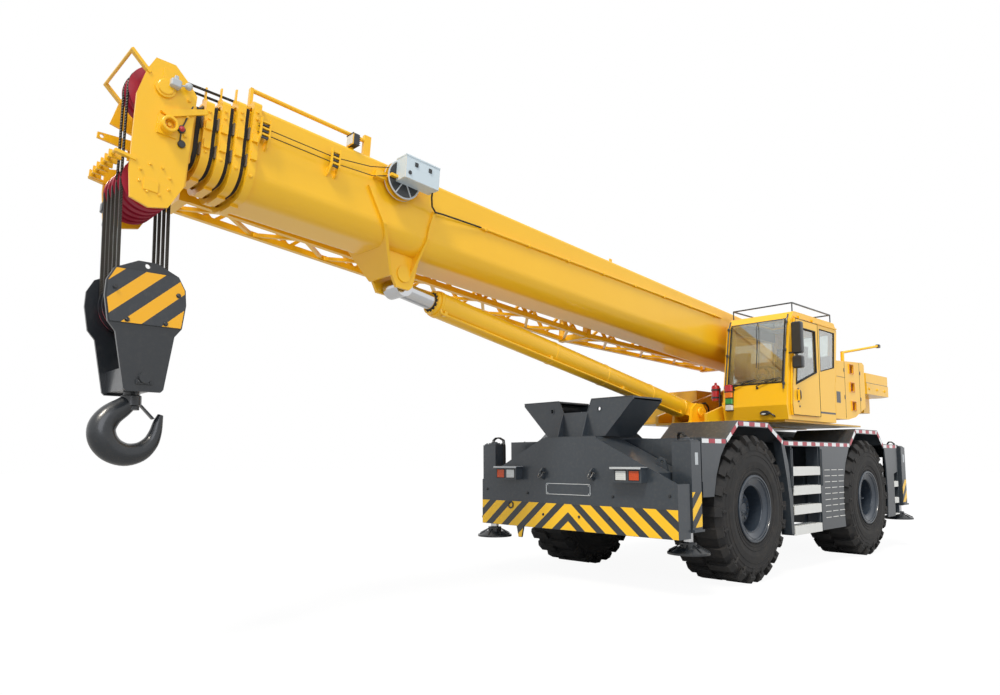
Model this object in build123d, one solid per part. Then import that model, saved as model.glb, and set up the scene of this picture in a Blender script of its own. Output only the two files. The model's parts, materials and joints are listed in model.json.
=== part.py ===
from build123d import *
import math
import os

os.makedirs("parts", exist_ok=True)

# A rough terrain mobile crane with a five-section telescopic boom.
# Millimetres. X points forward, Y to the crane's left, Z up, ground at Z = 0.
# Everything is worked out from the slewing axis and is moved back by middle_x
# when it is written, so that the origin lies under the middle of the whole crane.
middle_x = 2470
seat = 0.3
running_gap = 0.05
clear = 8

# Wheels and axles
wheelbase = 3930
track = 2480
tyre_radius = 935
tyre_width = 720
lug_height = 46
lugs_per_side = 22
bead_radius = 400
flange_radius = 427
rim_half_width = 334
flange_thickness = 16
dish_radius = 290
hub_radius = 170
spindle_radius = 90
kingpin_y = 800
kingpin_radius = 40
axle_radius = 120
boss_radius = 112
boss_half_height = 150
axle_z = tyre_radius
front_axle_x = wheelbase / 2
rear_axle_x = -wheelbase / 2
wheel_y = track / 2

# Carrier
rail_inner_y = 330
rail_outer_y = 450
rail_bottom_z = 1150
rail_top_z = 1650
front_x = front_axle_x + 1781
front_half_width = 1584
front_bottom_z = 670
front_corner_z = 1284
front_top_z = 1843
front_top_half_width = 426
front_plate = 21
box_back_x = front_axle_x + 1250
rear_box_front_x = rear_axle_x - 1600
rear_x = rear_box_front_x - 530
box_half_width = 1320
deck_side_y = 1560
deck_inner_y = 620
deck_z = 1818
arch_z = 2049
panel_front_x = -170
steps_front_x = front_axle_x - 1195
deck_thickness = 16
deck_front_x = box_back_x - 45
deck_rear_x = rear_box_front_x + 55
skirt_thickness = 20
skirt_depth = 75
slew_ring_radius = 760
turntable_z = 2090
table_thickness = 36

# Outriggers
beam_width = 205
beam_height = 300
beam_bottom_z = 770
beam_wall = 20
beam_reach = box_half_width - 70
left_front_beam_x = box_back_x + 160
right_front_beam_x = box_back_x + 395
left_rear_beam_x = rear_box_front_x - 145
right_rear_beam_x = rear_box_front_x - 382
housing_inner_y = box_half_width + 30
housing_outer_y = housing_inner_y + 250
housing_top_z = 1770
housing_bottom_z = 740
jack_barrel_radius = 85
jack_rod_radius = 55
float_radius = 240
float_top_z = 555

# Superstructure
pivot_x = -2250
pivot_z = 3320
side_plate_y = 400
side_plate_thickness = 50
boom_pin_radius = 90
luff_pin_radius = 60
luff_base_x = 790
luff_base_z = 2290
cab_inner_y = 530
cab_outer_y = 1500
cab_wall = 40
cab_floor_z = turntable_z + table_thickness + seat
cab_roof_z = 3720
door_thickness = 30
door_rail_z = 3642
glass_thickness = 8
counterweight_rear_x = -4450
counterweight_half_width = 1230

# Boom
boom_angle = 4.7
base_width = 720
base_height = 790
section_step_width = 66
section_step_height = 74
section_wall = 14
section_belly_radius = 210
section_top_radius = 36
base_tail = -320
base_front = 10540
collar_step = 120
collar_length = 70
head_rear = 11000
head_front = 11430
head_plate_y = 330
head_plate_thickness = 24
upper_sheave_along = 11250
upper_sheave_normal = 225
lower_sheave_along = 11240
lower_sheave_normal = -530
upper_sheave_radius = 225
lower_sheave_radius = 205
sheave_thickness = 60
sheave_gap = 44
sheave_count = 5
rod_eye_along = 8650
rod_eye_normal = -684
bracket_pin_along = 8722
bracket_pin_normal = -590
ear_inner_y = 150
ear_thickness = 36

# Luffing cylinder
barrel_radius = 145
barrel_bore = 104
barrel_from_eye = 500
luff_rod_radius = 90
luff_eye_radius = 105
luff_eye_half_width = 120

# Hook block
block_top_z = 3080
block_centre_z = 2780
block_bottom_z = 2080
block_sheave_radius = 205
cheek_half_width = 298
cheek_thickness = 26
block_plate_y = 280
hook_top_z = 2075
rope_radius = 11


def block(x0, x1, y0, y1, z0, z1):
    """A plain block between two corners."""
    middle = Pos((x0 + x1) / 2, (y0 + y1) / 2, (z0 + z1) / 2)
    return middle * Box(abs(x1 - x0), abs(y1 - y0), abs(z1 - z0))


def side_profile(points, y0, y1):
    """A plate drawn in side view, from (x, z) points, between two y planes."""
    outline = Polyline(*[(x, y0, z) for x, z in points], close=True)
    return extrude(make_face(outline), amount=y1 - y0, dir=(0, 1, 0))


def front_profile(points, x0, x1):
    """A plate drawn in front view, from (y, z) points, between two x planes."""
    outline = Polyline(*[(x0, y, z) for y, z in points], close=True)
    return extrude(make_face(outline), amount=x1 - x0, dir=(1, 0, 0))


def plan_profile(points, z0, z1):
    """A plate drawn in plan view, from (x, y) points, between two z planes."""
    outline = Polyline(*[(x, y, z0) for x, y in points], close=True)
    return extrude(make_face(outline), amount=z1 - z0, dir=(0, 0, 1))


def round_x(y, z, radius, x0, x1):
    """A round bar along X."""
    return Pos((x0 + x1) / 2, y, z) * Rot(0, 90, 0) * Cylinder(radius, abs(x1 - x0))


def round_y(x, z, radius, y0, y1):
    """A round bar along Y."""
    return Pos(x, (y0 + y1) / 2, z) * Rot(90, 0, 0) * Cylinder(radius, abs(y1 - y0))


def round_z(x, y, radius, z0, z1):
    """A round bar along Z."""
    return Pos(x, y, (z0 + z1) / 2) * Cylinder(radius, abs(z1 - z0))


def strut(start, end, width, depth=None):
    """A square bar from one point to another."""
    line = Vector(*end) - Vector(*start)
    plane = Plane(origin=start, z_dir=line)
    return extrude(plane * Rectangle(width, depth or width), amount=line.length)


def join(shapes):
    """All the shapes fused into one."""
    return Part() + list(shapes)


def mirror_y(shape):
    """The same shape on the crane's other side."""
    return mirror(shape, Plane.XZ)


def save(name, shape):
    """Write one piece, moved so that the origin is under the crane's middle."""
    export_step(Pos(-middle_x, 0, 0) * shape, f"parts/{name}.step")


def polygon_disc(y, radius, sides):
    """A flat polygon in a plane across the wheel's axle."""
    corners = []
    for index in range(sides):
        angle = math.tau * (index + 0.5) / sides
        corners.append((radius * math.sin(angle), y, radius * math.cos(angle)))
    return make_face(Polyline(*corners, close=True))


def make_tyre():
    """An earthmover tyre about the Y axis, with a block lug on every other facet of each shoulder."""
    sides = 2 * lugs_per_side
    carcass_radius = tyre_radius - lug_height
    half = tyre_width / 2
    # Columns: y across the tyre, radius
    sections = [
        (-rim_half_width + seat, flange_radius + 3),
        (-half, 600),
        (-half + 14, 790),
        (-half + 90, carcass_radius),
        (half - 90, carcass_radius),
        (half - 14, 790),
        (half, 600),
        (rim_half_width - seat, flange_radius + 3),
    ]
    carcass = loft([polygon_disc(y, radius, sides) for y, radius in sections], ruled=True)
    lug_outline = [
        (20, carcass_radius - 20),
        (20, tyre_radius),
        (half - 56, tyre_radius),
        (half - 4, tyre_radius - 75),
        (half - 30, tyre_radius - 135),
    ]
    lug_width = math.tau * tyre_radius / sides * 0.86
    lugs = []
    for index in range(sides):
        side = 1 if index % 2 else -1
        face = make_face(Polyline(*[(-lug_width / 2, side * y, r) for y, r in lug_outline], close=True))
        lug = extrude(face, amount=lug_width, dir=(1, 0, 0))
        lugs.append(Rot(0, 360 * index / sides, 0) * lug)
    bore = extrude(polygon_disc(-half, bead_radius, sides), amount=tyre_width, dir=(0, 1, 0))
    return join([carcass] + lugs) - bore


def make_rim():
    """A dished rim about the Y axis, with a drum that holds the hub bearing."""
    edge = rim_half_width + flange_thickness
    band = bead_radius * math.cos(math.pi / (2 * lugs_per_side)) - seat
    # Columns: y across the rim, radius
    profile = [
        (edge, flange_radius),
        (rim_half_width, flange_radius),
        (rim_half_width, band),
        (-rim_half_width, band),
        (-rim_half_width, flange_radius),
        (-edge, flange_radius),
        (-edge, band - 14),
        (20, band - 14),
        (20, hub_radius),
        (-150, hub_radius),
        (-150, spindle_radius + running_gap),
        (60, spindle_radius + running_gap),
        (60, 0),
        (150, 0),
        (165, 60),
        (165, 190),
        (45, 200),
        (45, dish_radius),
        (285, dish_radius),
        (300, dish_radius + 16),
        (edge - 6, 402),
    ]
    face = make_face(Polyline(*[(0, y, radius) for y, radius in profile], close=True))
    return revolve(face, Axis.Y, 360)


def make_knuckle():
    """A steering knuckle about its kingpin, at the origin, with its spindle towards +Y."""
    arm = boss_half_height + 6
    top = arm + 60
    web_y = boss_radius + 20
    reach = wheel_y - kingpin_y
    pieces = [
        block(-boss_radius, boss_radius, -boss_radius, web_y + 70, arm, top),
        block(-boss_radius, boss_radius, -boss_radius, web_y + 70, -top, -arm),
        block(-boss_radius, boss_radius, web_y, web_y + 70, -top, top),
        round_y(0, 0, hub_radius - 30, web_y + 60, reach - 150 - clear),
        round_y(0, 0, spindle_radius, web_y + 60, reach + 54),
        round_z(0, 0, kingpin_radius, 64, arm + 10),
        round_z(0, 0, kingpin_radius, -arm - 10, -64),
    ]
    return join(pieces)


def make_axle(x):
    """An axle across the carrier: tube, drive head and the two kingpin bosses."""
    saddle_y = (rail_inner_y + rail_outer_y) / 2
    pieces = [
        round_y(x, axle_z, axle_radius, -kingpin_y + 40, kingpin_y - 40),
        Pos(x, 0, axle_z) * Sphere(250),
        round_x(0, axle_z, 90, x - 330, x + 330),
    ]
    for side in (-1, 1):
        pieces.append(round_z(x, side * kingpin_y, boss_radius, axle_z - boss_half_height, axle_z + boss_half_height))
        pieces.append(block(x - 90, x + 90, side * saddle_y - 55, side * saddle_y + 55, axle_z, rail_bottom_z - seat))
    axle = join(pieces)
    for side in (-1, 1):
        for z0, z1 in ((55, boss_half_height + 1), (-boss_half_height - 1, -55)):
            axle -= round_z(x, side * kingpin_y, kingpin_radius + running_gap, axle_z + z0, axle_z + z1)
    return axle


def make_chassis():
    """Two box rails with cross members, the slewing pedestal and the deck arms."""
    pieces = []
    for side in (-1, 1):
        pieces.append(
            block(
                rear_box_front_x + seat,
                box_back_x - seat,
                side * rail_inner_y,
                side * rail_outer_y,
                rail_bottom_z,
                rail_top_z,
            )
        )
        for x in (-700, 700, deck_rear_x + 110, box_back_x - 115):
            pieces.append(
                block(x - 45, x + 45, side * rail_outer_y, side * (deck_side_y - 60), rail_top_z - 60, deck_z - deck_thickness - seat)
            )
            pieces.append(block(x - 45, x + 45, side * rail_outer_y, side * 600, rail_bottom_z + 120, rail_top_z - 60))
    for x in (3050, 2600, 1000, -1000, -2250):
        pieces.append(block(x - 60, x + 60, -rail_inner_y, rail_inner_y, rail_bottom_z + 60, rail_bottom_z + 260))
    pieces.append(block(-760, 760, -rail_inner_y, rail_inner_y, rail_top_z - 60, rail_top_z))
    pieces.append(block(-350, 250, -220, 220, 850, rail_top_z - 59))
    pieces.append(round_x(0, axle_z, 46, 240, front_axle_x - 330 - seat))
    pieces.append(round_x(0, axle_z, 46, rear_axle_x + 330 + seat, -340))
    pieces.append(round_z(0, 0, slew_ring_radius - 70, rail_top_z - 60, turntable_z - 70))
    pieces.append(round_z(0, 0, slew_ring_radius, turntable_z - 72, turntable_z - seat))
    return join(pieces)


def beam_tunnel(x, side, length):
    """The square hole that an outrigger beam slides in."""
    gap = clear
    return block(
        x - beam_width / 2 - gap,
        x + beam_width / 2 + gap,
        -side * length,
        side * length,
        beam_bottom_z - gap,
        beam_bottom_z + beam_height + gap,
    )


def beam_pads(x, side):
    """The slide pads that an outrigger beam rests on, at its tunnel's mouth and inner end."""
    pads = []
    for y in (-1200, 1150):
        pads.append(block(x - 70, x + 70, side * y, side * (y + 120), beam_bottom_z - clear - 1, beam_bottom_z - seat))
    return pads


def front_outline(half_width, bottom_z):
    """The front face's outline: upright corners, sloping shoulders and a flat top."""
    slope = (front_top_z - front_corner_z) / (front_half_width - front_top_half_width)
    corner_z = front_top_z - slope * (half_width - front_top_half_width)
    return [
        (-half_width, bottom_z),
        (half_width, bottom_z),
        (half_width, corner_z),
        (front_top_half_width, front_top_z),
        (-front_top_half_width, front_top_z),
        (-half_width, corner_z),
    ]


def make_front_box():
    """The front outrigger box, hollow above its two beam tunnels."""
    body = front_profile(front_outline(box_half_width, beam_bottom_z - 70), box_back_x, front_x - front_plate - seat)
    for x, side in ((left_front_beam_x, 1), (right_front_beam_x, -1)):
        body -= beam_tunnel(x, side, box_half_width + 1)
        body += beam_pads(x, side)
    hollow = front_profile(
        [(-1100, 1130), (1100, 1130), (1100, 1330), (400, 1700), (-400, 1700), (-1100, 1330)],
        box_back_x - 1,
        front_x - front_plate - 40,
    )
    box = body - hollow
    eye_outline = [(1090, 1505), (1290, 1410), (1250, 1560), (1180, 1594)]
    for side in (-1, 1):
        eye = front_profile([(side * y, z) for y, z in eye_outline], box_back_x + 230, box_back_x + 250)
        box += eye - round_x(side * 1208, 1535, 24, box_back_x + 220, box_back_x + 260)
    return box


def make_front_plate():
    """The wide front plate with its left return, lamp boxes and shackle lugs."""
    plate_back = front_x - front_plate
    pieces = [front_profile(front_outline(front_half_width, front_bottom_z), plate_back, front_x)]
    pieces.append(
        block(
            left_front_beam_x + beam_width / 2 + clear + 14,
            plate_back + 1,
            box_half_width + seat,
            front_half_width,
            front_bottom_z,
            front_corner_z,
        )
    )
    lens_face = front_x + 120
    for side in (-1, 1):
        lamp = block(front_x - 1, lens_face, side * 800, side * 1190, 1295, 1456)
        for y0, y1 in ((825, 985), (1015, 1165)):
            lamp -= block(lens_face - 12, lens_face + 1, side * y0, side * y1, 1315, 1436)
        pieces.append(lamp)
        pieces.append(block(front_x - 1, front_x + 150, side * 770, side * 1200, 1455, 1470))
        shackle_lug = [(front_x - 1, 1300), (front_x + 60, 1335), (front_x + 75, 1410), (front_x + 30, 1455), (front_x - 1, 1455)]
        lug = side_profile(shackle_lug, side * 398, side * 422)
        pieces.append(lug - round_y(front_x + 42, 1395, 20, side * 390, side * 430))
    tow_tab = [(-910, front_bottom_z + 1), (-780, front_bottom_z + 1), (-815, 525), (-875, 525)]
    pieces.append(front_profile(tow_tab, plate_back, front_x))
    return join(pieces)


def make_rear_box():
    """The rear outrigger box between the rear wheels and the tail."""
    body = front_profile(
        [
            (-box_half_width, beam_bottom_z - 70),
            (box_half_width, beam_bottom_z - 70),
            (box_half_width, 1200),
            (900, 1560),
            (-900, 1560),
            (-box_half_width, 1200),
        ],
        rear_x,
        rear_box_front_x,
    )
    box = body
    for x, side in ((left_rear_beam_x, 1), (right_rear_beam_x, -1)):
        box -= beam_tunnel(x, side, box_half_width + 1)
        box += beam_pads(x, side)
        lamp = block(rear_x - 50, rear_x + 1, side * 930, side * 1260, 1050, 1160)
        for y0, y1 in ((945, 1085), (1105, 1245)):
            lamp -= block(rear_x - 51, rear_x - 40, side * y0, side * y1, 1063, 1147)
        box += lamp
    tow_eye = side_profile([(rear_x + 1, 760), (rear_x - 90, 790), (rear_x - 90, 880), (rear_x + 1, 910)], -60, 60)
    return box + (tow_eye - round_z(rear_x - 50, 0, 26, 700, 950))


def make_hoods():
    """The front centre hood and the engine hood at the rear."""
    front = block(front_axle_x - 715, box_back_x - seat, -rail_outer_y + 20, rail_outer_y - 20, rail_top_z + seat, front_top_z)
    hood_points = [
        (-1000, rail_top_z + seat),
        (-1000, 1950),
        (-1150, 2040),
        (rear_x + 170, 2040),
        (rear_x + 20, 1950),
        (rear_x + 20, 1560 + seat),
        (rear_box_front_x, 1560 + seat),
        (rear_box_front_x, rail_top_z + seat),
    ]
    rear = side_profile(hood_points, -rail_outer_y + 20, rail_outer_y - 20)
    rear -= block(rear_box_front_x, -2310, -345, 345, rail_top_z - 100, 2000)
    side_y = rail_outer_y - 20
    for group in (-1500, -2500, -3500):
        for index in range(8):
            x = group - 60 * index
            for side in (-1, 1):
                rear -= block(x, x + 26, side * (side_y - 8), side * (side_y + 1), 1760, 1950)
    for index in range(6):
        z = 1620 + 50 * index
        rear -= block(rear_x + 19, rear_x + 28, -330, 330, z, z + 22)
    return front, rear


def deck_line():
    """Side view of the deck's top: flat, up over each wheel arch and flat again, as (x, z)."""
    return [
        (deck_front_x, deck_z),
        (front_axle_x + 645, deck_z),
        (front_axle_x + 337, arch_z),
        (front_axle_x - 495, arch_z),
        (front_axle_x - 933, deck_z),
        (rear_axle_x + 645, deck_z),
        (rear_axle_x + 375, arch_z),
        (rear_axle_x - 615, arch_z),
        (rear_axle_x - 885, deck_z),
        (deck_rear_x, deck_z),
    ]


def make_deck():
    """The left deck: a folded plate with arches, its edge strip, skirts, front wall and side panel."""
    line = deck_line()
    under = [(x, z - deck_thickness) for x, z in reversed(line)]
    plate = side_profile(line + under, deck_inner_y, deck_side_y)
    strip_under = [(x, z - skirt_depth) for x, z in reversed(line)]
    strip = side_profile(line + strip_under, deck_side_y - skirt_thickness, deck_side_y)
    skirt_y0 = deck_side_y - skirt_thickness
    low = deck_z - 40
    # Columns: x ahead of the axle, z
    front_curve = [(955, 1120), (885, 1380), (775, 1600), (655, 1740), (625, low)]
    rear_curve = [(-965, 560), (-1005, 940), (-985, 1400), (-915, low)]
    panel_curve = [(655, low), (835, 1500), (925, 1250), (960, 1000), (955, 760), (925, 520)]
    strip_curve = [(-955, low), (-1065, 1500), (-1145, 1100), (-1185, 530), (-1105, 530), (-1065, 1000), (-1005, 1300), (-855, deck_z)]
    front_skirt = side_profile(
        [(deck_front_x, low), (deck_front_x, 1120)] + [(front_axle_x + x, z) for x, z in front_curve], skirt_y0, deck_side_y
    )
    ladder_x = deck_rear_x + 210
    rear_edge = [(deck_rear_x, low), (deck_rear_x, 1340), (ladder_x, 1300), (ladder_x, 560)]
    rear_skirt = side_profile([(rear_axle_x + x, z) for x, z in rear_curve] + rear_edge, skirt_y0, deck_side_y)
    ladder = []
    for x in (ladder_x - 18, deck_rear_x - 18):
        ladder.append(block(x, x + 18, deck_side_y - 170, deck_side_y - 2, float_top_z + 25, deck_z - deck_thickness + 1))
    for z in (1165, 880, 600):
        ladder.append(block(deck_rear_x - 10, ladder_x - 10, deck_side_y - 160, deck_side_y - 2, z - 8, z))
        riser_z = max(z - 95, float_top_z + 25)
        ladder.append(block(deck_rear_x - 10, ladder_x - 10, deck_side_y - 12, deck_side_y - 2, riser_z, z))
    panel = side_profile(
        [(panel_front_x, low)] + [(rear_axle_x + x, z) for x, z in panel_curve] + [(panel_front_x, 520)],
        deck_side_y - 40,
        deck_side_y,
    )
    strip_rear = side_profile([(front_axle_x + x, z) for x, z in strip_curve], deck_side_y - 110, deck_side_y)
    front_wall = block(deck_front_x, deck_front_x + 12, deck_inner_y - 150, deck_side_y, 1300, deck_z)
    tank = block(-720, -60, 640, 1340, 620, 1300)
    hanger = block(-420, -300, 640, 1340, 1290, deck_z - 10)
    pieces = [plate, strip, front_skirt, rear_skirt, panel, strip_rear, front_wall, tank, hanger]
    deck = join(pieces + ladder)
    return deck - round_z(0, 0, slew_ring_radius - 60, rail_top_z, arch_z)


def make_steps():
    """A ladder of four C-shaped treads between two cheeks, hung under the left deck."""
    pieces = []
    rear = panel_front_x + 20
    for x in (rear, steps_front_x - 20):
        pieces.append(block(x, x + 20, deck_side_y - 190, deck_side_y - skirt_thickness - seat, 510, deck_z - deck_thickness - seat))
    for z in (1450, 1180, 910, 630):
        pieces.append(block(rear + 10, steps_front_x - 10, deck_side_y - 180, deck_side_y, z - 8, z))
        pieces.append(block(rear + 10, steps_front_x - 10, deck_side_y - 10, deck_side_y, z - 120, z))
        pieces.append(block(rear + 10, steps_front_x - 10, deck_side_y - 180, deck_side_y - 172, z - 60, z))
    return join(pieces)


def make_boom_rest():
    """The cradle on the front box: two notched V plates, top strips, ribs and a foot."""
    outline = [
        (-470, front_top_z + 12),
        (470, front_top_z + 12),
        (900, 2290),
        (900, 2330),
        (270, 2330),
        (200, 2170),
        (-200, 2170),
        (-270, 2330),
        (-900, 2330),
        (-900, 2290),
    ]
    face = front_x - 166
    rear = front_x - 786
    pieces = [front_profile(outline, face - 20, face), front_profile(outline, rear, rear + 20)]
    pieces.append(block(rear, front_x - 46, -rail_outer_y + 30, rail_outer_y - 30, front_top_z + seat, front_top_z + 14))
    for side in (-1, 1):
        pieces.append(block(rear, face, side * 270, side * 900, 2310, 2330))
        flank = [(side * 470, front_top_z + 12), (side * 900, 2290), (side * 880, 2290), (side * 450, front_top_z + 12)]
        pieces.append(front_profile(flank, rear, face))
        rib = [(face, 2170), (face + 120, front_top_z + 14), (face, front_top_z + 14)]
        pieces.append(side_profile(rib, side * 195, side * 207))
    pieces.append(block(rear, face, -215, 215, 2162, 2170))
    rest = join(pieces)
    for side in (-1, 1):
        rest -= round_x(side * 390, 2200, 26, rear - 10, face + 10)
    return rest


def make_beam(x, side):
    """An outrigger beam with its upright jack housing at the outer end."""
    tube = block(x - beam_width / 2, x + beam_width / 2, -side * beam_reach, side * (housing_inner_y + 1), beam_bottom_z, beam_bottom_z + beam_height)
    tube -= block(
        x - beam_width / 2 + beam_wall,
        x + beam_width / 2 - beam_wall,
        -side * (beam_reach + 1),
        side * housing_inner_y,
        beam_bottom_z + beam_wall,
        beam_bottom_z + beam_height - beam_wall,
    )
    housing = block(x - beam_width / 2, x + beam_width / 2, side * housing_inner_y, side * housing_outer_y, housing_bottom_z, housing_top_z)
    middle_y = side * (housing_inner_y + housing_outer_y) / 2
    housing += block(x - 108, x + 108, side * (housing_inner_y - 18), side * (housing_outer_y + 25), housing_bottom_z, housing_bottom_z + 26)
    housing -= round_z(x, middle_y, jack_rod_radius + running_gap, housing_bottom_z - 1, housing_bottom_z + 60)
    housing -= round_z(x, middle_y, jack_rod_radius + 15, housing_bottom_z + 59, housing_top_z - 60)
    cap = round_z(x, middle_y, jack_barrel_radius, housing_top_z - 1, housing_top_z + 30)
    return join([tube, housing, cap])


def make_jack(x, side):
    """A jack rod with its round float."""
    middle_y = side * (housing_inner_y + housing_outer_y) / 2
    rod = round_z(x, middle_y, jack_rod_radius, float_top_z - 20, housing_top_z - 90)
    collar = round_z(x, middle_y, 90, float_top_z - 4, float_top_z + 60)
    dish = Pos(x, middle_y, float_top_z - 27) * Cone(float_radius, 150, 46)
    rim = round_z(x, middle_y, float_radius, float_top_z - 70, float_top_z - 50)
    return join([rod, collar, dish, rim])


def make_turntable():
    """The slewing frame: base plate, two boom side plates, luffing bracket, tail and right-hand box."""
    plate_outer = side_plate_y + side_plate_thickness
    top = turntable_z + table_thickness
    side_points = [
        (1060, top - 1),
        (1060, 2240),
        (400, 2420),
        (-1500, 2900),
        (-2030, 3430),
        (-2150, 3530),
        (-2350, 3530),
        (-2480, 3430),
        (-2800, 2700),
        (-3100, 2600),
        (-3100, 2420),
        (-2850, 2420),
        (-2700, 2200),
        (-2400, top - 1),
    ]
    pieces = [
        round_z(0, 0, slew_ring_radius, turntable_z, top),
        block(-2400, 1060, -plate_outer, plate_outer, turntable_z, top),
    ]
    for side in (-1, 1):
        pieces.append(side_profile(side_points, side * side_plate_y, side * plate_outer))
        pieces.append(round_y(pivot_x, pivot_z, 150, side * (side_plate_y + 5), side * (plate_outer + 40)))
        ear = side_profile(
            [
                (520, top - 1),
                (600, 2330),
                (700, luff_base_z + 130),
                (880, luff_base_z + 130),
                (1000, 2330),
                (1050, top - 1),
            ],
            side * (luff_eye_half_width + 5),
            side * (luff_eye_half_width + 45),
        )
        pieces.append(ear)
    pieces.append(block(-2400, -2360, -side_plate_y - 1, side_plate_y + 1, top - 1, 2760))
    pieces.append(block(-1200, -1160, -side_plate_y - 1, side_plate_y + 1, top - 1, 2560))
    pieces.append(block(-3900, -2600, -side_plate_y - 1, side_plate_y + 1, 2420, 2450))
    for side in (-1, 1):
        pieces.append(block(-3900, -3060, side * side_plate_y, side * plate_outer, 2420, 2740))
        pieces.append(round_z(180, side * 270, 105, top - 1, top + 60))
        pieces.append(round_z(180, side * 270, 80, top + 59, top + 330))
    pieces.append(block(-1500, 450, -1300, -plate_outer + 1, 2150, 2190))
    pieces.append(block(-1450, -450, -1290, -600, 2189, 2760))
    pieces.append(block(-300, 420, -1290, -700, 2189, 2420))
    pieces.append(block(-2300, 600, plate_outer - 1, 1400, turntable_z + 10, top))
    pieces.append(block(-2250, -1020, plate_outer - 1, 900, top - 1, 2400))
    frame = join(pieces)
    for x, z, radius in ((-250, 2330, 85), (-850, 2450, 120), (-1550, 2560, 150), (-2150, 2850, 150)):
        frame -= round_y(x, z, radius, -plate_outer - 1, plate_outer + 1)
    frame -= round_y(pivot_x, pivot_z, boom_pin_radius + running_gap, -plate_outer - 60, plate_outer + 60)
    frame -= round_y(luff_base_x, luff_base_z, luff_pin_radius + running_gap, -luff_eye_half_width - 60, luff_eye_half_width + 60)
    return frame


def make_counterweight():
    """The counterweight across the tail, notched for the auxiliary winch."""
    rear = counterweight_rear_x
    outline = [
        (-3180, -counterweight_half_width),
        (rear + 160, -counterweight_half_width),
        (rear, -counterweight_half_width + 160),
        (rear, counterweight_half_width - 160),
        (rear + 160, counterweight_half_width),
        (-3180, counterweight_half_width),
        (-3180, side_plate_y + side_plate_thickness + seat),
        (-3950, side_plate_y + side_plate_thickness + seat),
        (-3950, -side_plate_y - side_plate_thickness - seat),
        (-3180, -side_plate_y - side_plate_thickness - seat),
    ]
    seam = 12
    lower_slab = plan_profile(outline, 2740, 2940)
    upper_slab = lower_slab & block(rear + seam, 0, -counterweight_half_width + seam, counterweight_half_width - seam, 2700, 3000)
    upper = lower_slab + Pos(0, 0, 185) * upper_slab
    lower = block(rear + 200, -3950, -900, 900, 2440, 2741)
    wings = [block(-3900, -3300, side * (side_plate_y + side_plate_thickness + seat), side * 900, 2500, 2741) for side in (-1, 1)]
    return join([upper, lower] + wings)


def make_winches():
    """The main and auxiliary winch drums with their rope and end frames."""
    pieces = []
    # Columns: x, z, drum radius
    for x, z, radius in ((-2960, 2860, 190), (-3600, 2760, 190)):
        drum = round_y(x, z, radius, -330, 330)
        for side in (-1, 1):
            drum += round_y(x, z, radius + 90, side * 300, side * 330)
            drum += round_y(x, z, 60, side * 330, side * (side_plate_y - seat))
        foot = block(x - 50, x + 50, -320, 320, 2450 + seat, z - radius + 20)
        pieces.append(drum + foot)
    return Compound(pieces)


def make_side_cover():
    """The housing behind the cab with three square vents."""
    outline = [
        (-1010, 2200),
        (-1010, 2705),
        (-1068, 2900),
        (-1102, 3130),
        (-2210, 3190),
        (-2290, 3150),
        (-2290, 2430),
        (-1820, 2250),
        (-1500, 2200),
    ]
    body = side_profile(outline, 900 + seat, cab_outer_y)
    for x, z in ((-1690, 3040), (-1710, 2740), (-1750, 2430)):
        body += block(x - 88, x + 88, cab_outer_y - 1, cab_outer_y + 12, z - 82, z + 82)
        body -= block(x - 72, x + 72, cab_outer_y - 80, cab_outer_y + 13, z - 66, z + 66)
    return body


def cab_outline(offset):
    """Side view of the cab, drawn in by an offset, as (x, z)."""
    return [
        (700 - offset, cab_floor_z + offset),
        (745 - offset, 2330),
        (705 - offset, 2640),
        (540 - offset, 3560),
        (400 - offset * 0.7, cab_roof_z - offset),
        (-1060 + offset * 0.7, cab_roof_z - offset),
        (-1160 + offset, 3600),
        (-1060 + offset, 2900),
        (-1000 + offset, 2700),
        (-1000 + offset, cab_floor_z + offset),
    ]


door_opening = [(560, 2300), (560, 2620), (395, 3560), (-290, 3560), (-290, 2300)]
door_window = [(490, 2640), (345, 3480), (-220, 3480), (-220, 2860)]
rear_window = [(-470, 2900), (-1000, 3000), (-1060, 3560), (-480, 3560)]


def make_cab():
    """The hollow cab shell with its window and door openings."""
    shell = side_profile(cab_outline(0), cab_inner_y, cab_outer_y)
    roof_edges = [edge for edge in shell.edges().filter_by(Axis.Y) if edge.center().Z > cab_roof_z - 1]
    shell = fillet(roof_edges, 45)
    shell -= side_profile(cab_outline(cab_wall), cab_inner_y + cab_wall, cab_outer_y - cab_wall)
    shell -= side_profile(door_opening, cab_outer_y - cab_wall - 1, cab_outer_y + 1)
    shell -= side_profile(rear_window, cab_outer_y - cab_wall - 1, cab_outer_y + 1)
    right_window = [(480, 2700), (345, 3500), (-1000, 3500), (-960, 2900)]
    shell -= side_profile(right_window, cab_inner_y - 1, cab_inner_y + cab_wall + 1)
    shell -= side_profile([(640, 2660), (900, 2660), (900, 3600), (480, 3600)], cab_inner_y + 70, cab_outer_y - 70)
    shell -= block(-1300, -900, cab_inner_y + 120, cab_outer_y - 120, 3200, 3560)
    shell -= block(-700, 150, cab_inner_y + 150, cab_outer_y - 150, cab_roof_z - cab_wall - 1, cab_roof_z + 1)
    shell += block(-1130, 420, cab_outer_y - 1, cab_outer_y + 18, door_rail_z - 18, door_rail_z)
    return shell


def pane(points, y0, y1, gap=seat):
    """A side window's glass: its opening drawn in by a gap."""
    face = make_face(Polyline(*[(x, y0, z) for x, z in points], close=True))
    return extrude(offset(face, amount=-gap, kind=Kind.INTERSECTION), amount=y1 - y0, dir=(0, 1, 0))


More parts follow.
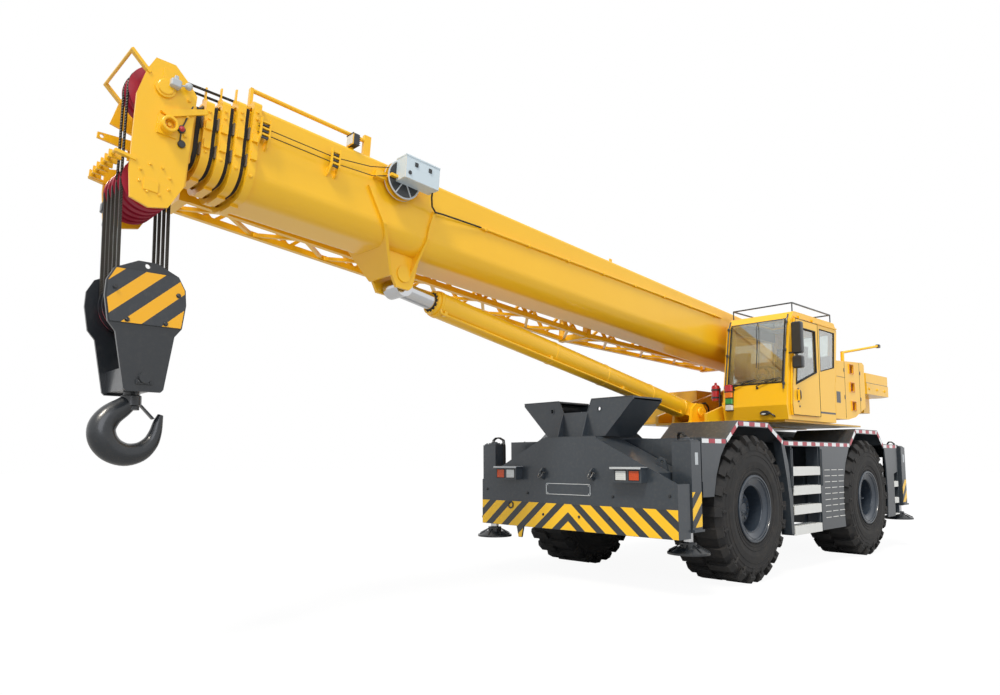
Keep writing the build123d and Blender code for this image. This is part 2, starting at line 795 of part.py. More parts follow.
def make_cab_glass():
    """The fixed panes of the cab."""
    middle = cab_outer_y - cab_wall / 2
    panes = [pane(rear_window, middle, middle + glass_thickness)]
    right = [(480, 2700), (345, 3500), (-1000, 3500), (-960, 2900)]
    panes.append(pane(right, cab_inner_y + 16, cab_inner_y + 16 + glass_thickness))
    front_line = [(681, 2661), (689, 2661), (521, 3599), (513, 3599)]
    panes.append(side_profile(front_line, cab_inner_y + 70 + seat, cab_outer_y - 70 - seat))
    rear_line = [(-1087, 3200 + seat), (-1079, 3200 + seat), (-1130, 3560 - seat), (-1138, 3560 - seat)]
    panes.append(side_profile(rear_line, cab_inner_y + 120 + seat, cab_outer_y - 120 - seat))
    panes.append(block(-700 + seat, 150 - seat, cab_inner_y + 150 + seat, cab_outer_y - 150 - seat, cab_roof_z - 24, cab_roof_z - 16))
    return Compound(panes)


def make_cab_inside():
    """The operator's seat and the console, apart from each other."""
    seat_pieces = [
        block(-560, -60, 790, 1250, 2600, 2740),
        side_profile([(-560, 2700), (-420, 2700), (-560, 3330), (-680, 3330)], 800, 1240),
        block(-440, -180, 880, 1160, cab_floor_z + cab_wall + seat, 2610),
        block(-480, -60, 690, 770, 2840, 2900),
        block(-480, -60, 1270, 1350, 2840, 2900),
    ]
    for y in (730, 1310):
        seat_pieces.append(block(-420, -340, y - 30, y + 30, 2660, 2841))
    seat_pieces.append(block(-460, -300, 700, 1340, 2650, 2690))
    driver_seat = join(seat_pieces)
    dash = side_profile([(600, cab_floor_z + 120), (600, 2620), (420, 2700), (330, 2560), (420, 2400), (440, cab_floor_z + cab_wall + seat), (560, cab_floor_z + cab_wall + seat)], 640, 1390)
    column = strut((420, 1020, 2600), (213, 1020, 2817), 60)
    wheel_plane = Plane(origin=(215, 1020, 2815), z_dir=(-1, 0, 1.05))
    ring = wheel_plane * Torus(190, 16)
    spokes = wheel_plane * Box(380, 40, 14)
    console = join([dash, column, ring, spokes])
    return driver_seat, console


def make_door():
    """The sliding door panel with its window cut out, and its handle."""
    y0 = cab_outer_y + 6
    points = [(610, 2190), (635, 2340), (610, 2640), (440, 3610), (-330, 3610), (-330, 2190)]
    panel = side_profile(points, y0, y0 + door_thickness)
    panel -= side_profile(door_window, y0 - 1, y0 + door_thickness + 1)
    handle = block(440, 470, y0 + door_thickness, y0 + door_thickness + 40, 2400, 2560)
    hangers = []
    for x in (-250, 220):
        hangers.append(block(x, x + 80, y0 + 18, y0 + door_thickness, 3590, door_rail_z + 20))
        hangers.append(block(x, x + 80, y0 - 4, y0 + door_thickness, door_rail_z + seat, door_rail_z + 20))
    return join([panel, handle] + hangers)


def make_door_glass():
    """The door's pane."""
    y0 = cab_outer_y + 6 + 10
    return pane(door_window, y0, y0 + glass_thickness)


def mirror_case(x, y, z0, z1):
    """A mirror's case: a slab with well rounded corners, standing across the crane."""
    case = block(x - 35, x + 35, y - 75, y + 75, z0, z1)
    case = fillet(case.edges().filter_by(Axis.X), 32)
    return fillet(case.faces().sort_by(Axis.X)[-1].edges(), 20)


def make_cab_fittings():
    """Mirrors, roof rail, lamp stack and the camera arm, each seated on the cab."""
    rail_z = cab_roof_z + 130
    pieces = []
    corners = [(380, cab_inner_y + 30), (380, cab_outer_y - 30), (-1000, cab_outer_y - 30), (-1000, cab_inner_y + 30)]
    rail = [round_z(x, y, 9, cab_roof_z + seat, rail_z) for x, y in corners]
    for (x0, y0), (x1, y1) in zip(corners, corners[1:] + corners[:1]):
        rail.append(strut((x0, y0, rail_z), (x1, y1, rail_z), 18))
    pieces.append(join(rail))
    arm = join(
        [
            strut((608, cab_outer_y + seat, 3080), (608, 1590, 3080), 22),
            mirror_case(600, 1622, 3060, 3520),
            mirror_case(600, 1622, 2850, 3030),
            block(590, 610, 1590, 1610, 3020, 3070),
        ]
    )
    pieces.append(arm)
    stack = [(736, 2280), (746, 2330), (706, 2640), (701, 2670), (800, 2670), (800, 2280)]
    pieces.append(side_profile(stack, cab_inner_y + 70, cab_inner_y + 170))
    camera = join([strut((-2180, 1200, 3190), (-2180, 1200, 3420), 40), strut((-2180, 1200, 3400), (-3000, 1500, 3560), 30)])
    pieces.append(camera)
    return Compound(pieces)


def section_face(x, width, height, wall=0):
    """A boom section's outline at one station: flat top and sides, round belly."""
    half_width = width / 2 - wall
    half_height = height / 2 - wall
    belly = section_belly_radius * width / base_width - wall
    plane = Plane(origin=(x, 0, 0), x_dir=(0, 1, 0), z_dir=(1, 0, 0))
    outline = Rectangle(2 * half_width, 2 * half_height)
    outline = fillet(outline.vertices().sort_by(Axis.Y)[:2], belly)
    outline = fillet(outline.vertices().sort_by(Axis.Y)[-2:], max(section_top_radius - wall, 8))
    return plane * outline


def section_tube(x0, x1, width, height):
    """A hollow boom section between two stations."""
    outer = extrude(section_face(x0, width, height), amount=x1 - x0, dir=(1, 0, 0))
    inner = extrude(section_face(x0 - 1, width, height, section_wall), amount=x1 - x0 + 2, dir=(1, 0, 0))
    return outer - inner


def section_size(number):
    """Width and height of a boom section: 0 is the base, 4 the innermost."""
    return base_width - number * section_step_width, base_height - number * section_step_height


def section_collar(number, x1):
    """The stiff ring at a section's front end, with posts on top and a ribbed pad below."""
    width, height = section_size(number)
    grow = 60
    ring = extrude(section_face(x1 - collar_length, width + grow, height + grow), amount=collar_length, dir=(1, 0, 0))
    ring -= extrude(section_face(x1 - collar_length - 1, width, height, section_wall), amount=collar_length + 2, dir=(1, 0, 0))
    top = height / 2 + grow / 2
    pieces = [ring]
    inner_height = height - section_step_height
    for side in (-1, 1):
        low = inner_height / 2 + seat
        high = height / 2 - section_wall + 1
        pieces.append(block(x1 - collar_length, x1, -80, 80, side * low, side * high))
    for y in (-width * 0.3, width * 0.3):
        pieces.append(block(x1 - 44, x1 - 16, y - 22, y + 22, top - 1, top + 60))
        pieces.append(block(x1 - 36, x1 - 24, y - 14, y + 14, top + 59, top + 165))
    sides = (1,) if number == 0 else (-1, 1)
    for side in sides:
        y = side * (width + grow) / 2
        for normal in (-70, 90):
            pieces.append(block(x1 - collar_length + 8, x1 - 8, y - side, y + side * 24, normal - 35, normal + 35))
    pieces.append(block(x1 - collar_length, x1, -110, 110, -top - 20, -top + 12))
    return join(pieces)


boom_place = Pos(pivot_x, 0, pivot_z) * Rot(0, -boom_angle, 0)


def make_boom_base():
    """The base section with its foot, pivot pin and front collar."""
    width, height = section_size(0)
    tube = section_tube(base_tail + 300, base_front - 5, width, height)
    foot_outline = [(-150, -150), (-150, 120), (300, height / 2 - 5), (900, height / 2 - 5), (900, -height / 2 + 5), (500, -height / 2 + 5)]
    foot = side_profile(foot_outline, -width / 2 + 12, width / 2 - 12)
    foot -= block(200, 1000, -width / 2 + 60, width / 2 - 60, -height / 2 + 60, height / 2 - 60)
    foot -= block(500, 1000, -width / 2 + section_wall, width / 2 - section_wall, -height / 2, height / 2)
    pin = round_y(0, 0, boom_pin_radius, -side_plate_y - side_plate_thickness - 30, side_plate_y + side_plate_thickness + 30)
    boss = round_y(0, 0, 150, -side_plate_y + 5, side_plate_y - 5)
    tube -= side_profile([(-60, 401), (-60, 90), (330, 401)], -400, 400)
    tube -= side_profile([(-60, -401), (-60, -120), (520, -401)], -400, 400)
    base = join([tube, foot, pin, boss, section_collar(0, base_front)] + make_boom_fittings())
    return boom_place * base


def make_boom_fittings():
    """Rope guides, top pipe, work lamp, cable reel and its box on the base section's left side."""
    side_y = base_width / 2
    top = base_height / 2
    pieces = []
    for x in (10440, 9750):
        arm = [(side_y - 1, 20), (side_y + 40, 40), (side_y + 85, 110), (side_y + 85, 280), (side_y + 65, 280), (side_y + 55, 130), (side_y - 1, 100)]
        for shift in (-46, 34):
            pieces.append(front_profile(arm, x + shift, x + shift + 12))
        for normal in (130, 185, 240):
            pieces.append(block(x - 46, x + 46, side_y + 60, side_y + 80, normal, normal + 14))
    pipe_y = 216
    pipe_normal = top + 205
    pieces.append(round_x(pipe_y, pipe_normal, 20, 9330, base_front - 26))
    pieces.append(block(base_front - 44, base_front - 16, pipe_y - 22, pipe_y + 22, top + 80, pipe_normal + 14))
    pieces.append(block(9270, 9345, pipe_y - 20, pipe_y + 20, top - 1, top + 260))
    pieces.append(block(9490, 9560, 270, 385, top + 32, top + 142))
    pieces.append(block(9505, 9535, 285, 315, top - 1, top + 33))
    pieces.append(round_y(9000, 240, 34, side_y - 1, side_y + 110))
    for y in (side_y + 40, side_y + 96):
        pieces.append(round_y(9000, 240, 190, y, y + 10))
    pieces.append(round_y(9000, 240, 120, side_y + 49, side_y + 97))
    pieces.append(block(8690, 9100, side_y + 105, side_y + 260, 190, 420))
    pieces.append(block(9160, 9300, side_y - 1, side_y + 60, 190, 262))
    pieces.append(block(9090, 9180, side_y + 40, side_y + 150, 215, 240))
    pieces.append(block(5390, 5440, 250, 262, top - 1, top + 80))
    return pieces


def make_luff_bracket():
    """The shell under the boom that takes the rod eye of the luffing cylinder."""
    width, height = section_size(0)
    half = width / 2 + 30
    front_outline_points = [
        (-half, 90),
        (-half, -230),
        (-ear_inner_y - ear_thickness, -640),
        (ear_inner_y + ear_thickness, -640),
        (half, -230),
        (half, 90),
    ]
    wrap = front_profile(front_outline_points, 8500, 9350)
    wrap &= side_profile([(8480, 136), (8500, 136), (8560, -100), (8640, -640), (8890, -641), (9350, 90), (9380, 90), (9380, 140), (8480, 140)], -500, 500)
    wrap -= side_profile([(8450, 200), (8530, 136), (8590, -100), (8670, -700), (8830, -700), (9280, 60), (9290, 200)], -500, 500)
    section = extrude(section_face(8400, width, height, -seat), amount=1100, dir=(1, 0, 0))
    ears = []
    for side in (-1, 1):
        ear = side_profile(
            [(8520, -300), (8600, -700), (8640, -740), (8800, -740), (8860, -640), (9100, -300)],
            side * ear_inner_y,
            side * (ear_inner_y + ear_thickness),
        )
        ears.append(ear)
        ears.append(round_y(bracket_pin_along, bracket_pin_normal, 85, side * (ear_inner_y + ear_thickness), side * (ear_inner_y + ear_thickness + 14)))
    wrap -= block(8400, 8700, -ear_inner_y, ear_inner_y, -800, -405)
    shell = join([wrap] + ears)
    shell -= section
    return boom_place * shell


def make_tele(number):
    """One telescoping section with its collar."""
    width, height = section_size(number)
    x1 = base_front + number * collar_step
    x0 = 420 + number * 130
    end = x1 - 5 if number < 4 else head_rear - 45 - seat
    tube = section_tube(x0, end, width, height)
    for side in (-1, 1):
        low = height / 2 - 1
        high = (height + section_step_height) / 2 - section_wall - seat
        tube += block(x0, x0 + 150, -80, 80, side * low, side * high)
    if number < 4:
        tube += section_collar(number, x1)
    return boom_place * tube


def make_boom_head():
    """The head's two side plates with spacers, on the innermost section."""
    width, height = section_size(4)
    outline = [
        (head_rear, 260),
        (head_rear + 60, 330),
        (upper_sheave_along - 60, 445),
        (upper_sheave_along + 90, 440),
        (head_front - 40, 330),
        (head_front + 15, 100),
        (head_front, -500),
        (lower_sheave_along + 160, -720),
        (lower_sheave_along + 20, -760),
        (lower_sheave_along - 120, -720),
        (head_rear + 20, -520),
    ]
    notch = [
        (head_front + 60, 110),
        (upper_sheave_along - 20, 60),
        (upper_sheave_along - 20, -250),
        (head_front + 60, -310),
    ]
    pieces = []
    for side in (-1, 1):
        plate = side_profile(outline, side * head_plate_y, side * (head_plate_y + head_plate_thickness))
        if side < 0:
            plate -= side_profile(notch, -head_plate_y + 1, -head_plate_y - head_plate_thickness - 1)
            fork = [(upper_sheave_along - 40, -80), (head_front + 95, -55), (head_front + 95, -5), (upper_sheave_along - 40, 20)]
            fork_plate = side_profile(fork, -head_plate_y, -head_plate_y - head_plate_thickness)
            plate += fork_plate - round_y(head_front + 60, -30, 17, -head_plate_y + 1, -head_plate_y - head_plate_thickness - 1)
        pieces.append(plate)
        outer = side * (head_plate_y + head_plate_thickness)
        for along, normal, half in ((11200, -80, 75), (11230, 330, 45)):
            pieces.append(block(along - half, along + half, outer - side, outer + side * 14, normal - half, normal + half))
        boss = round_y(11200, -80, 62, outer, outer + side * 78) - round_y(11200, -80, 40, outer + side * 20, outer + side * 79)
        pieces.append(boss)
        for along, normal, reach_along, reach_normal in ((head_front - 60, 300, 150, 130), (head_front - 40, -420, 150, 20)):
            start = (along, side * (head_plate_y + 12), normal)
            tip = (along + reach_along, side * (head_plate_y + 12), normal + reach_normal)
            pieces.append(strut(start, tip, 24, 44))
    for along, normal in ((head_front + 84, 425), (head_front + 104, -401)):
        pieces.append(round_y(along, normal, 13, -head_plate_y - 24, head_plate_y + 24))
    for index in range(sheave_count + 1):
        y = (index - sheave_count / 2) * (sheave_thickness + sheave_gap)
        pieces.append(block(head_front + 40, head_front + 130, y - 8, y + 8, -430, -372))
        pieces.append(round_y(upper_sheave_along, upper_sheave_normal, 80, side * head_plate_y, side * (head_plate_y + head_plate_thickness + 20)))
    pieces.append(round_y(upper_sheave_along, upper_sheave_normal, 45, -head_plate_y - 1, head_plate_y + 1))
    pieces.append(round_y(lower_sheave_along, lower_sheave_normal, 45, -head_plate_y - 1, head_plate_y + 1))
    pieces.append(block(head_rear, head_rear + 24, -head_plate_y - 1, head_plate_y + 1, -500, 250))
    pieces.append(block(head_rear - 45, head_rear + 1, -width / 2, width / 2, -height / 2, height / 2))
    head = join(pieces)
    for normal, along, radius, half in (
        (upper_sheave_normal, upper_sheave_along, upper_sheave_radius, 270),
        (lower_sheave_normal, lower_sheave_along, lower_sheave_radius, 270),
    ):
        space = round_y(along, normal, radius + 10, -half, half)
        head -= space - round_y(along, normal, 45, -head_plate_y, head_plate_y)
    return boom_place * head


def make_head_sheaves():
    """Two banks of grooved rope sheaves on the head's pins."""
    pieces = []
    pitch = sheave_thickness + sheave_gap
    for along, normal, radius, count in (
        (upper_sheave_along, upper_sheave_normal, upper_sheave_radius, 2),
        (lower_sheave_along, lower_sheave_normal, lower_sheave_radius, sheave_count),
    ):
        for index in range(count):
            y = (index - (count - 1) / 2) * pitch + (120 if count == 2 else 0)
            pieces.append(make_sheave(along, y, normal, radius, 45 + seat))
    return boom_place * Compound(pieces)


def make_sheave(x, y, z, radius, bore):
    """A grooved sheave about Y."""
    half = sheave_thickness / 2
    groove = radius - 9 - rope_radius - seat
    profile = [(-half, bore), (half, bore), (half, radius), (14, groove), (-14, groove), (-half, radius)]
    face = make_face(Polyline(*[(0, w, r) for w, r in profile], close=True))
    return Pos(x, y, z) * revolve(face, Axis.Y, 360)


def make_jib():
    """The stowed lattice jib on the boom's right side, with its brackets."""
    chord = 60
    lace = 36
    ring = 84
    inner = -base_width / 2 - 80
    # Columns: along the boom, top chord's normal, bottom chord's normal, outer chord's y
    head_end = (10760, 60, -290, inner - 330)
    middle = (5000, 40, -400, inner - 450)
    tail_end = (1300, -60, -250, inner - 300)
    bars = []
    for first, second, bays in ((head_end, middle, 7), (middle, tail_end, 4)):
        rows = []
        for index in range(bays + 1):
            share = index / bays
            rows.append([a + (b - a) * share for a, b in zip(first, second)])
        for row in (1, 2):
            for outer in (False, True):
                start = (first[0], first[3] if outer else inner, first[row])
                end = (second[0], second[3] if outer else inner, second[row])
                bars.append(strut(start, end, chord))
        for one, two in zip(rows, rows[1:]):
            half = [(a + b) / 2 for a, b in zip(one, two)]
            for outer in (False, True):
                y0, y1, y2 = [row[3] if outer else inner for row in (one, half, two)]
                bars.append(strut((one[0], y0, one[1]), (half[0], y1, half[2]), lace))
                bars.append(strut((half[0], y1, half[2]), (two[0], y2, two[1]), lace))
            for row in (1, 2):
                bars.append(strut((one[0], one[3], one[row]), (half[0], inner, half[row]), lace))
                bars.append(strut((half[0], inner, half[row]), (two[0], two[3], two[row]), lace))
    for x, top, bottom, outer in (head_end, middle, tail_end):
        low = bottom - ring / 2
        high = top + ring / 2
        frame = block(x - ring / 2, x + ring / 2, outer - ring / 2, inner + ring / 2, low, high)
        frame -= block(x - ring, x + ring, outer + ring / 2, inner - ring / 2, low + ring, high - ring)
        bars.append(frame)
    for x in (2900, 7000):
        bars.append(block(x - 40, x + 40, inner, -base_width / 2 - seat, -10, 30))
    return boom_place * join(bars)


def boom_point(along, normal):
    """A point on the raised boom, as (x, z)."""
    angle = math.radians(boom_angle)
    x = pivot_x + along * math.cos(angle) - normal * math.sin(angle)
    z = pivot_z + along * math.sin(angle) + normal * math.cos(angle)
    return x, z


eye_x, eye_z = boom_point(rod_eye_along, rod_eye_normal)
cylinder_length = math.hypot(eye_x - luff_base_x, eye_z - luff_base_z)
cylinder_angle = math.degrees(math.atan2(eye_z - luff_base_z, eye_x - luff_base_x))
cylinder_place = Pos(luff_base_x, 0, luff_base_z) * Rot(0, -cylinder_angle, 0)


def make_luff_barrel():
    """The luffing cylinder's barrel with its base eye and pin."""
    end = cylinder_length - barrel_from_eye
    barrel = round_x(0, 0, barrel_radius, 300, end)
    barrel -= round_x(0, 0, barrel_bore, 420, end - 160)
    barrel -= round_x(0, 0, luff_rod_radius + running_gap, end - 161, end + 1)
    eye = round_y(0, 0, 140, -luff_eye_half_width, luff_eye_half_width)
    neck = block(0, 320, -luff_eye_half_width, luff_eye_half_width, -110, 110)
    pin = round_y(0, 0, luff_pin_radius, -luff_eye_half_width - 60, luff_eye_half_width + 60)
    gland = round_x(0, 0, barrel_radius - 14, end - 1, end + 45)
    gland -= round_x(0, 0, luff_rod_radius + running_gap, end - 2, end + 46)
    pipe = round_x(122, -126, 13, 420, end - 50)
    clips = [block(x, x + 40, 75, 132, -136, -85) for x in (430, 1900, 3400, end - 100)]
    return cylinder_place * join([barrel, eye, neck, pin, gland, pipe] + clips)


def make_luff_rod():
    """The chromed rod, from its piston in the barrel to its eye."""
    rod = round_x(0, 0, luff_rod_radius, 700, cylinder_length - 60)
    eye = round_y(cylinder_length, 0, luff_eye_radius, -luff_eye_half_width, luff_eye_half_width)
    return cylinder_place * (rod + eye)


falls_x, falls_z = boom_point(lower_sheave_along, lower_sheave_normal)
block_x = falls_x


def make_rope_falls():
    """The falls of hoist rope between the head and the hook block."""
    pitch = sheave_thickness + sheave_gap
    ropes = []
    for index in range(sheave_count):
        y = (index - (sheave_count - 1) / 2) * pitch
        for side in (-1, 1):
            if index == sheave_count - 1 and side == -1:
                continue
            top_x = falls_x + side * (lower_sheave_radius - 9)
            low_x = block_x + side * (block_sheave_radius - 9)
            ropes.append(strut((top_x, y, falls_z), (low_x, y, block_centre_z), 2 * rope_radius))
    return Compound(ropes)


def make_hook_block():
    """The hook block: cheek plates, sheaves between them and the bottom trunnion."""
    # Columns: half width of the cheek, z
    half_outline = [
        (70, block_top_z),
        (235, block_top_z - 80),
        (290, block_top_z - 180),
        (cheek_half_width, block_centre_z),
        (270, block_centre_z - 190),
        (215, block_centre_z - 260),
        (145, block_bottom_z + 20),
        (125, block_bottom_z),
    ]
    outline = [(block_x + x, z) for x, z in half_outline] + [(block_x - x, z) for x, z in reversed(half_outline)]
    pieces = []
    for side in (-1, 1):
        pieces.append(side_profile(outline, side * (block_plate_y - cheek_thickness), side * block_plate_y))
        cover = [(block_x + x * 0.97, z) for x, z in half_outline[1:5]] + [(block_x - x * 0.97, z) for x, z in reversed(half_outline[1:5])]
        pieces.append(side_profile(cover, side * (block_plate_y - 1), side * (block_plate_y + 9)))
        pieces.append(round_y(block_x, block_bottom_z + 105, 42, side * block_plate_y - side, side * (block_plate_y + 34)))
        pieces.append(block(block_x - 60, block_x + 60, side * (block_plate_y - 1), side * (block_plate_y + 16), block_bottom_z + 55, block_bottom_z + 90))
    pieces.append(round_y(block_x, block_centre_z, 50, -block_plate_y, block_plate_y))
    pieces.append(block(block_x - 115, block_x + 115, -block_plate_y + 1, block_plate_y - 1, block_bottom_z + 20, block_bottom_z + 190))
    pieces.append(round_y(block_x, block_bottom_z + 330, 30, -block_plate_y, block_plate_y))
    pitch = sheave_thickness + sheave_gap
    for index in range(sheave_count - 1):
        y = (index - (sheave_count - 2) / 2) * pitch
        pieces.append(round_y(block_x, block_centre_z, block_sheave_radius + 22, y - 6, y + 6))
    body = join(pieces)
    body -= round_y(block_x, block_top_z - 32, 20, -block_plate_y - 1, block_plate_y + 1)
    body -= round_z(block_x, 0, 60 + running_gap, block_bottom_z - 1, block_bottom_z + 120)
    return body


def make_block_sheaves():
    """The hook block's rope sheaves."""
    pitch = sheave_thickness + sheave_gap
    count = sheave_count
    sheaves = []
    for index in range(count):
        y = (index - (count - 1) / 2) * pitch
        sheaves.append(make_sheave(block_x, y, block_centre_z, block_sheave_radius, 50 + seat))
    return Compound(sheaves)


def make_hook():
    """The forged hook: shank, bowl and point, in the boom's plane, with its safety latch."""
    shank = round_z(block_x, 0, 60, hook_top_z - 120, hook_top_z + 110)
    # Columns: x from the shank, z, radius
    path = [
        (0, hook_top_z - 40, 64),
        (62, 1975, 76),
        (150, 1905, 90),
        (203, 1815, 101),
        (193, 1722, 104),
        (130, 1645, 99),
        (30, 1608, 90),
        (-75, 1628, 78),
        (-152, 1695, 62),
        (-190, 1780, 49),
        (-208, 1862, 38),
        (-226, 1925, 22),
    ]
    pieces = [shank]
    faces = []
    for index, (dx, z, radius) in enumerate(path):
        before = path[max(index - 1, 0)]
        after = path[min(index + 1, len(path) - 1)]
        direction = (after[0] - before[0], 0, after[1] - before[1])
        plane = Plane(origin=(block_x + dx, 0, z), x_dir=(0, 1, 0), z_dir=direction)
        faces.append(plane * RegularPolygon(radius, 10))
    pieces.append(loft(faces, ruled=True))
    pieces.append(round_z(block_x, 0, 75, hook_top_z - 90, hook_top_z - 5))
    pieces.append(strut((block_x - 30, 0, hook_top_z - 20), (block_x - 168, 0, 1900), 44, 14))
    return join(pieces)


# Carrier
save("chassis", make_chassis())
save("front_box", make_front_box())
save("front_plate", make_front_plate())
save("rear_box", make_rear_box())
front_hood, rear_hood = make_hoods()
save("front_hood", front_hood)
save("engine_hood", rear_hood)
save("engine", block(rear_box_front_x + 15, -2330, -rail_inner_y + seat, rail_inner_y - seat, 1200, 1960))
left_deck = make_deck()
save("left_deck", left_deck)
save("right_deck", mirror_y(left_deck))
left_steps = make_steps()
save("left_steps", left_steps)
save("right_steps", mirror_y(left_steps))
save("boom_rest", make_boom_rest())
save("front_axle", make_axle(front_axle_x))
save("rear_axle", make_axle(rear_axle_x))

# Wheels and knuckles
tyre = make_tyre()
rim = make_rim()
knuckle = make_knuckle()
# Columns: name, x of the axle, side of the crane
corners = [
    ("front_left", front_axle_x, 1),
    ("front_right", front_axle_x, -1),
    ("rear_left", rear_axle_x, 1),
    ("rear_right", rear_axle_x, -1),
]
for name, x, side in corners:
    turn = Rot(0, 0, 0 if side > 0 else 180)
    save(f"tyre_{name}", Pos(x, side * wheel_y, axle_z) * turn * tyre)
    save(f"rim_{name}", Pos(x, side * wheel_y, axle_z) * turn * rim)
    save(f"knuckle_{name}", Pos(x, side * kingpin_y, axle_z) * turn * knuckle)

# Outriggers
# Columns: name, x of the beam, side of the crane
beams = [
    ("front_left", left_front_beam_x, 1),
    ("front_right", right_front_beam_x, -1),
    ("rear_left", left_rear_beam_x, 1),
    ("rear_right", right_rear_beam_x, -1),
]
for name, x, side in beams:
    save(f"beam_{name}", make_beam(x, side))
    save(f"jack_{name}", make_jack(x, side))

# Superstructure
save("turntable", make_turntable())
save("counterweight", make_counterweight())
save("winches", make_winches())
save("side_cover", make_side_cover())
save("cab", make_cab())
save("cab_glass", make_cab_glass())
driver_seat, console = make_cab_inside()
save("driver_seat", driver_seat)
save("console", console)
save("cab_fittings", make_cab_fittings())
save("door", make_door())
save("door_glass", make_door_glass())

# Boom
save("boom_base", make_boom_base())
save("luff_bracket", make_luff_bracket())
save("jib", make_jib())
for number in (1, 2, 3, 4):
    save(f"boom_section_{number}", make_tele(number))
save("boom_head", make_boom_head())
save("head_sheaves", make_head_sheaves())
save("luff_barrel", make_luff_barrel())
save("luff_rod", make_luff_rod())

# Hook block
save("rope_falls", make_rope_falls())
save("hook_block", make_hook_block())
save("block_sheaves", make_block_sheaves())
save("hook", make_hook())
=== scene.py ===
# %% [markdown]
# # A rough terrain crane, dressed in Blender
# The crane's solids come from the imported CAD model and stay where they are. This script gives each
# of them its finish and adds what a crane carries on top of its main forms: bolts, hoses, lamps,
# tread, rope and stripes. Most pieces are tied to an empty for the body they move with. The ropes
# between moving parts and the falls are tied to no body.
#
# The file is a lesson in cells. Each step first says what the real piece is, how it could be made
# and why this way was chosen. Lengths are millimetres on the crane's own drawing and become metres
# in one place, where a piece is built.

# %% Load the frame
import json
import math

import bmesh
import bpy
from mathutils import Matrix, Vector


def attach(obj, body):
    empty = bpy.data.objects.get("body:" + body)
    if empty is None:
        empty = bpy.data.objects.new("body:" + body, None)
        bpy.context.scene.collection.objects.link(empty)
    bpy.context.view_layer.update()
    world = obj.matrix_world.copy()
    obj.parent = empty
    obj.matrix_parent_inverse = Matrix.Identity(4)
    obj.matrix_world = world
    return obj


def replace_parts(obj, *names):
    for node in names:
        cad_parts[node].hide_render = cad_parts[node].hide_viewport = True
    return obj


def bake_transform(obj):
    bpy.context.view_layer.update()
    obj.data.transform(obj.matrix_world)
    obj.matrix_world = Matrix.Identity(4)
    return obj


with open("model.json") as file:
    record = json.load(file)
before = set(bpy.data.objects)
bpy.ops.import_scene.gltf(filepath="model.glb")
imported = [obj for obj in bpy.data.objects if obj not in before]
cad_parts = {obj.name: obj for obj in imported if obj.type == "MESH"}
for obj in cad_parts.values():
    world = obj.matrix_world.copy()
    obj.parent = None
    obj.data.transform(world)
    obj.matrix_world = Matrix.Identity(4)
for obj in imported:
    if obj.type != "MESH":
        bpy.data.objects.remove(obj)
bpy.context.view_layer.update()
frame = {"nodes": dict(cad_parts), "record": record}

# %% [markdown]
# ## Colours, nodes and pattern sizes
# Paint colours are written the way a colour picker shows them, as sRGB hex. Blender's shaders
# calculate in linear light, so one function turns each hex value into linear numbers. A second small
# function adds a shader node together with its settings and links, which keeps the materials short
# enough to read in one go.
#
# A pattern's scale could be tried out by eye, but then it only suits one view. Here it comes from a
# size in millimetres, so that dust on the cab and dust on a wheel are the same dust.

# %% Helpers for materials
MIX_A, MIX_B, MIX_OUT = 6, 7, 2  # the colour sockets of a Mix node, which share their names with others


def linear(hex_colour):
    """An sRGB hex colour as linear RGBA."""
    parts = [int(hex_colour[i : i + 2], 16) / 255 for i in (1, 3, 5)]
    return tuple(c / 12.92 if c <= 0.04045 else ((c + 0.055) / 1.055) ** 2.4 for c in parts) + (1.0,)


def add(tree, kind, inputs=None, **settings):
    """Adds a node, with its settings, and its inputs as values or links."""
    node = tree.nodes.new(kind)
    for name, value in settings.items():
        setattr(node, name, value)
    for socket, value in (inputs or {}).items():
        if isinstance(value, bpy.types.NodeSocket):
            tree.links.new(value, node.inputs[socket])
        else:
            node.inputs[socket].default_value = value
    return node


def start_material(name, base=None, **values):
    """A material with one Principled shader, and its tree, shader and place on the object."""
    material = bpy.data.materials.new(name)
    material.use_nodes = True
    tree = material.node_tree
    shader = tree.nodes["Principled BSDF"]
    for socket, value in values.items():
        shader.inputs[socket.replace("_", " ")].default_value = value
    if base:
        shader.inputs["Base Color"].default_value = linear(base)
    return material, tree, shader, add(tree, "ShaderNodeTexCoord")


def per_metre(size):
    """The scale at which a noise pattern has features of this size in millimetres."""
    return 1000 / size


def bands(spacing):
    """The scale at which the bands of a wave pattern lie this many millimetres apart."""
    return math.tau / 20 * 1000 / spacing


print("helpers ready")

# %% [markdown]
# ## The camera
# The photograph was taken from ahead and to the left of the crane, at about eye height, looking
# slightly up. A camera could be turned by hand until the picture looks right. These numbers come
# from a fit instead, because a fit gets the lens and the distance apart, which the eye mixes up.
# The picture was cropped afterwards, so the lens axis isn't in its middle, and the camera's shift
# stands for that crop.

# %% Place the camera
YAW, PITCH, ROLL = math.radians(47.316), math.radians(4.946), math.radians(-0.118)
camera_place = (8.327, 5.963, 1.561)
photo_width = 1000  # pixels
focal_length = 716.96  # pixels
sensor_width = 36

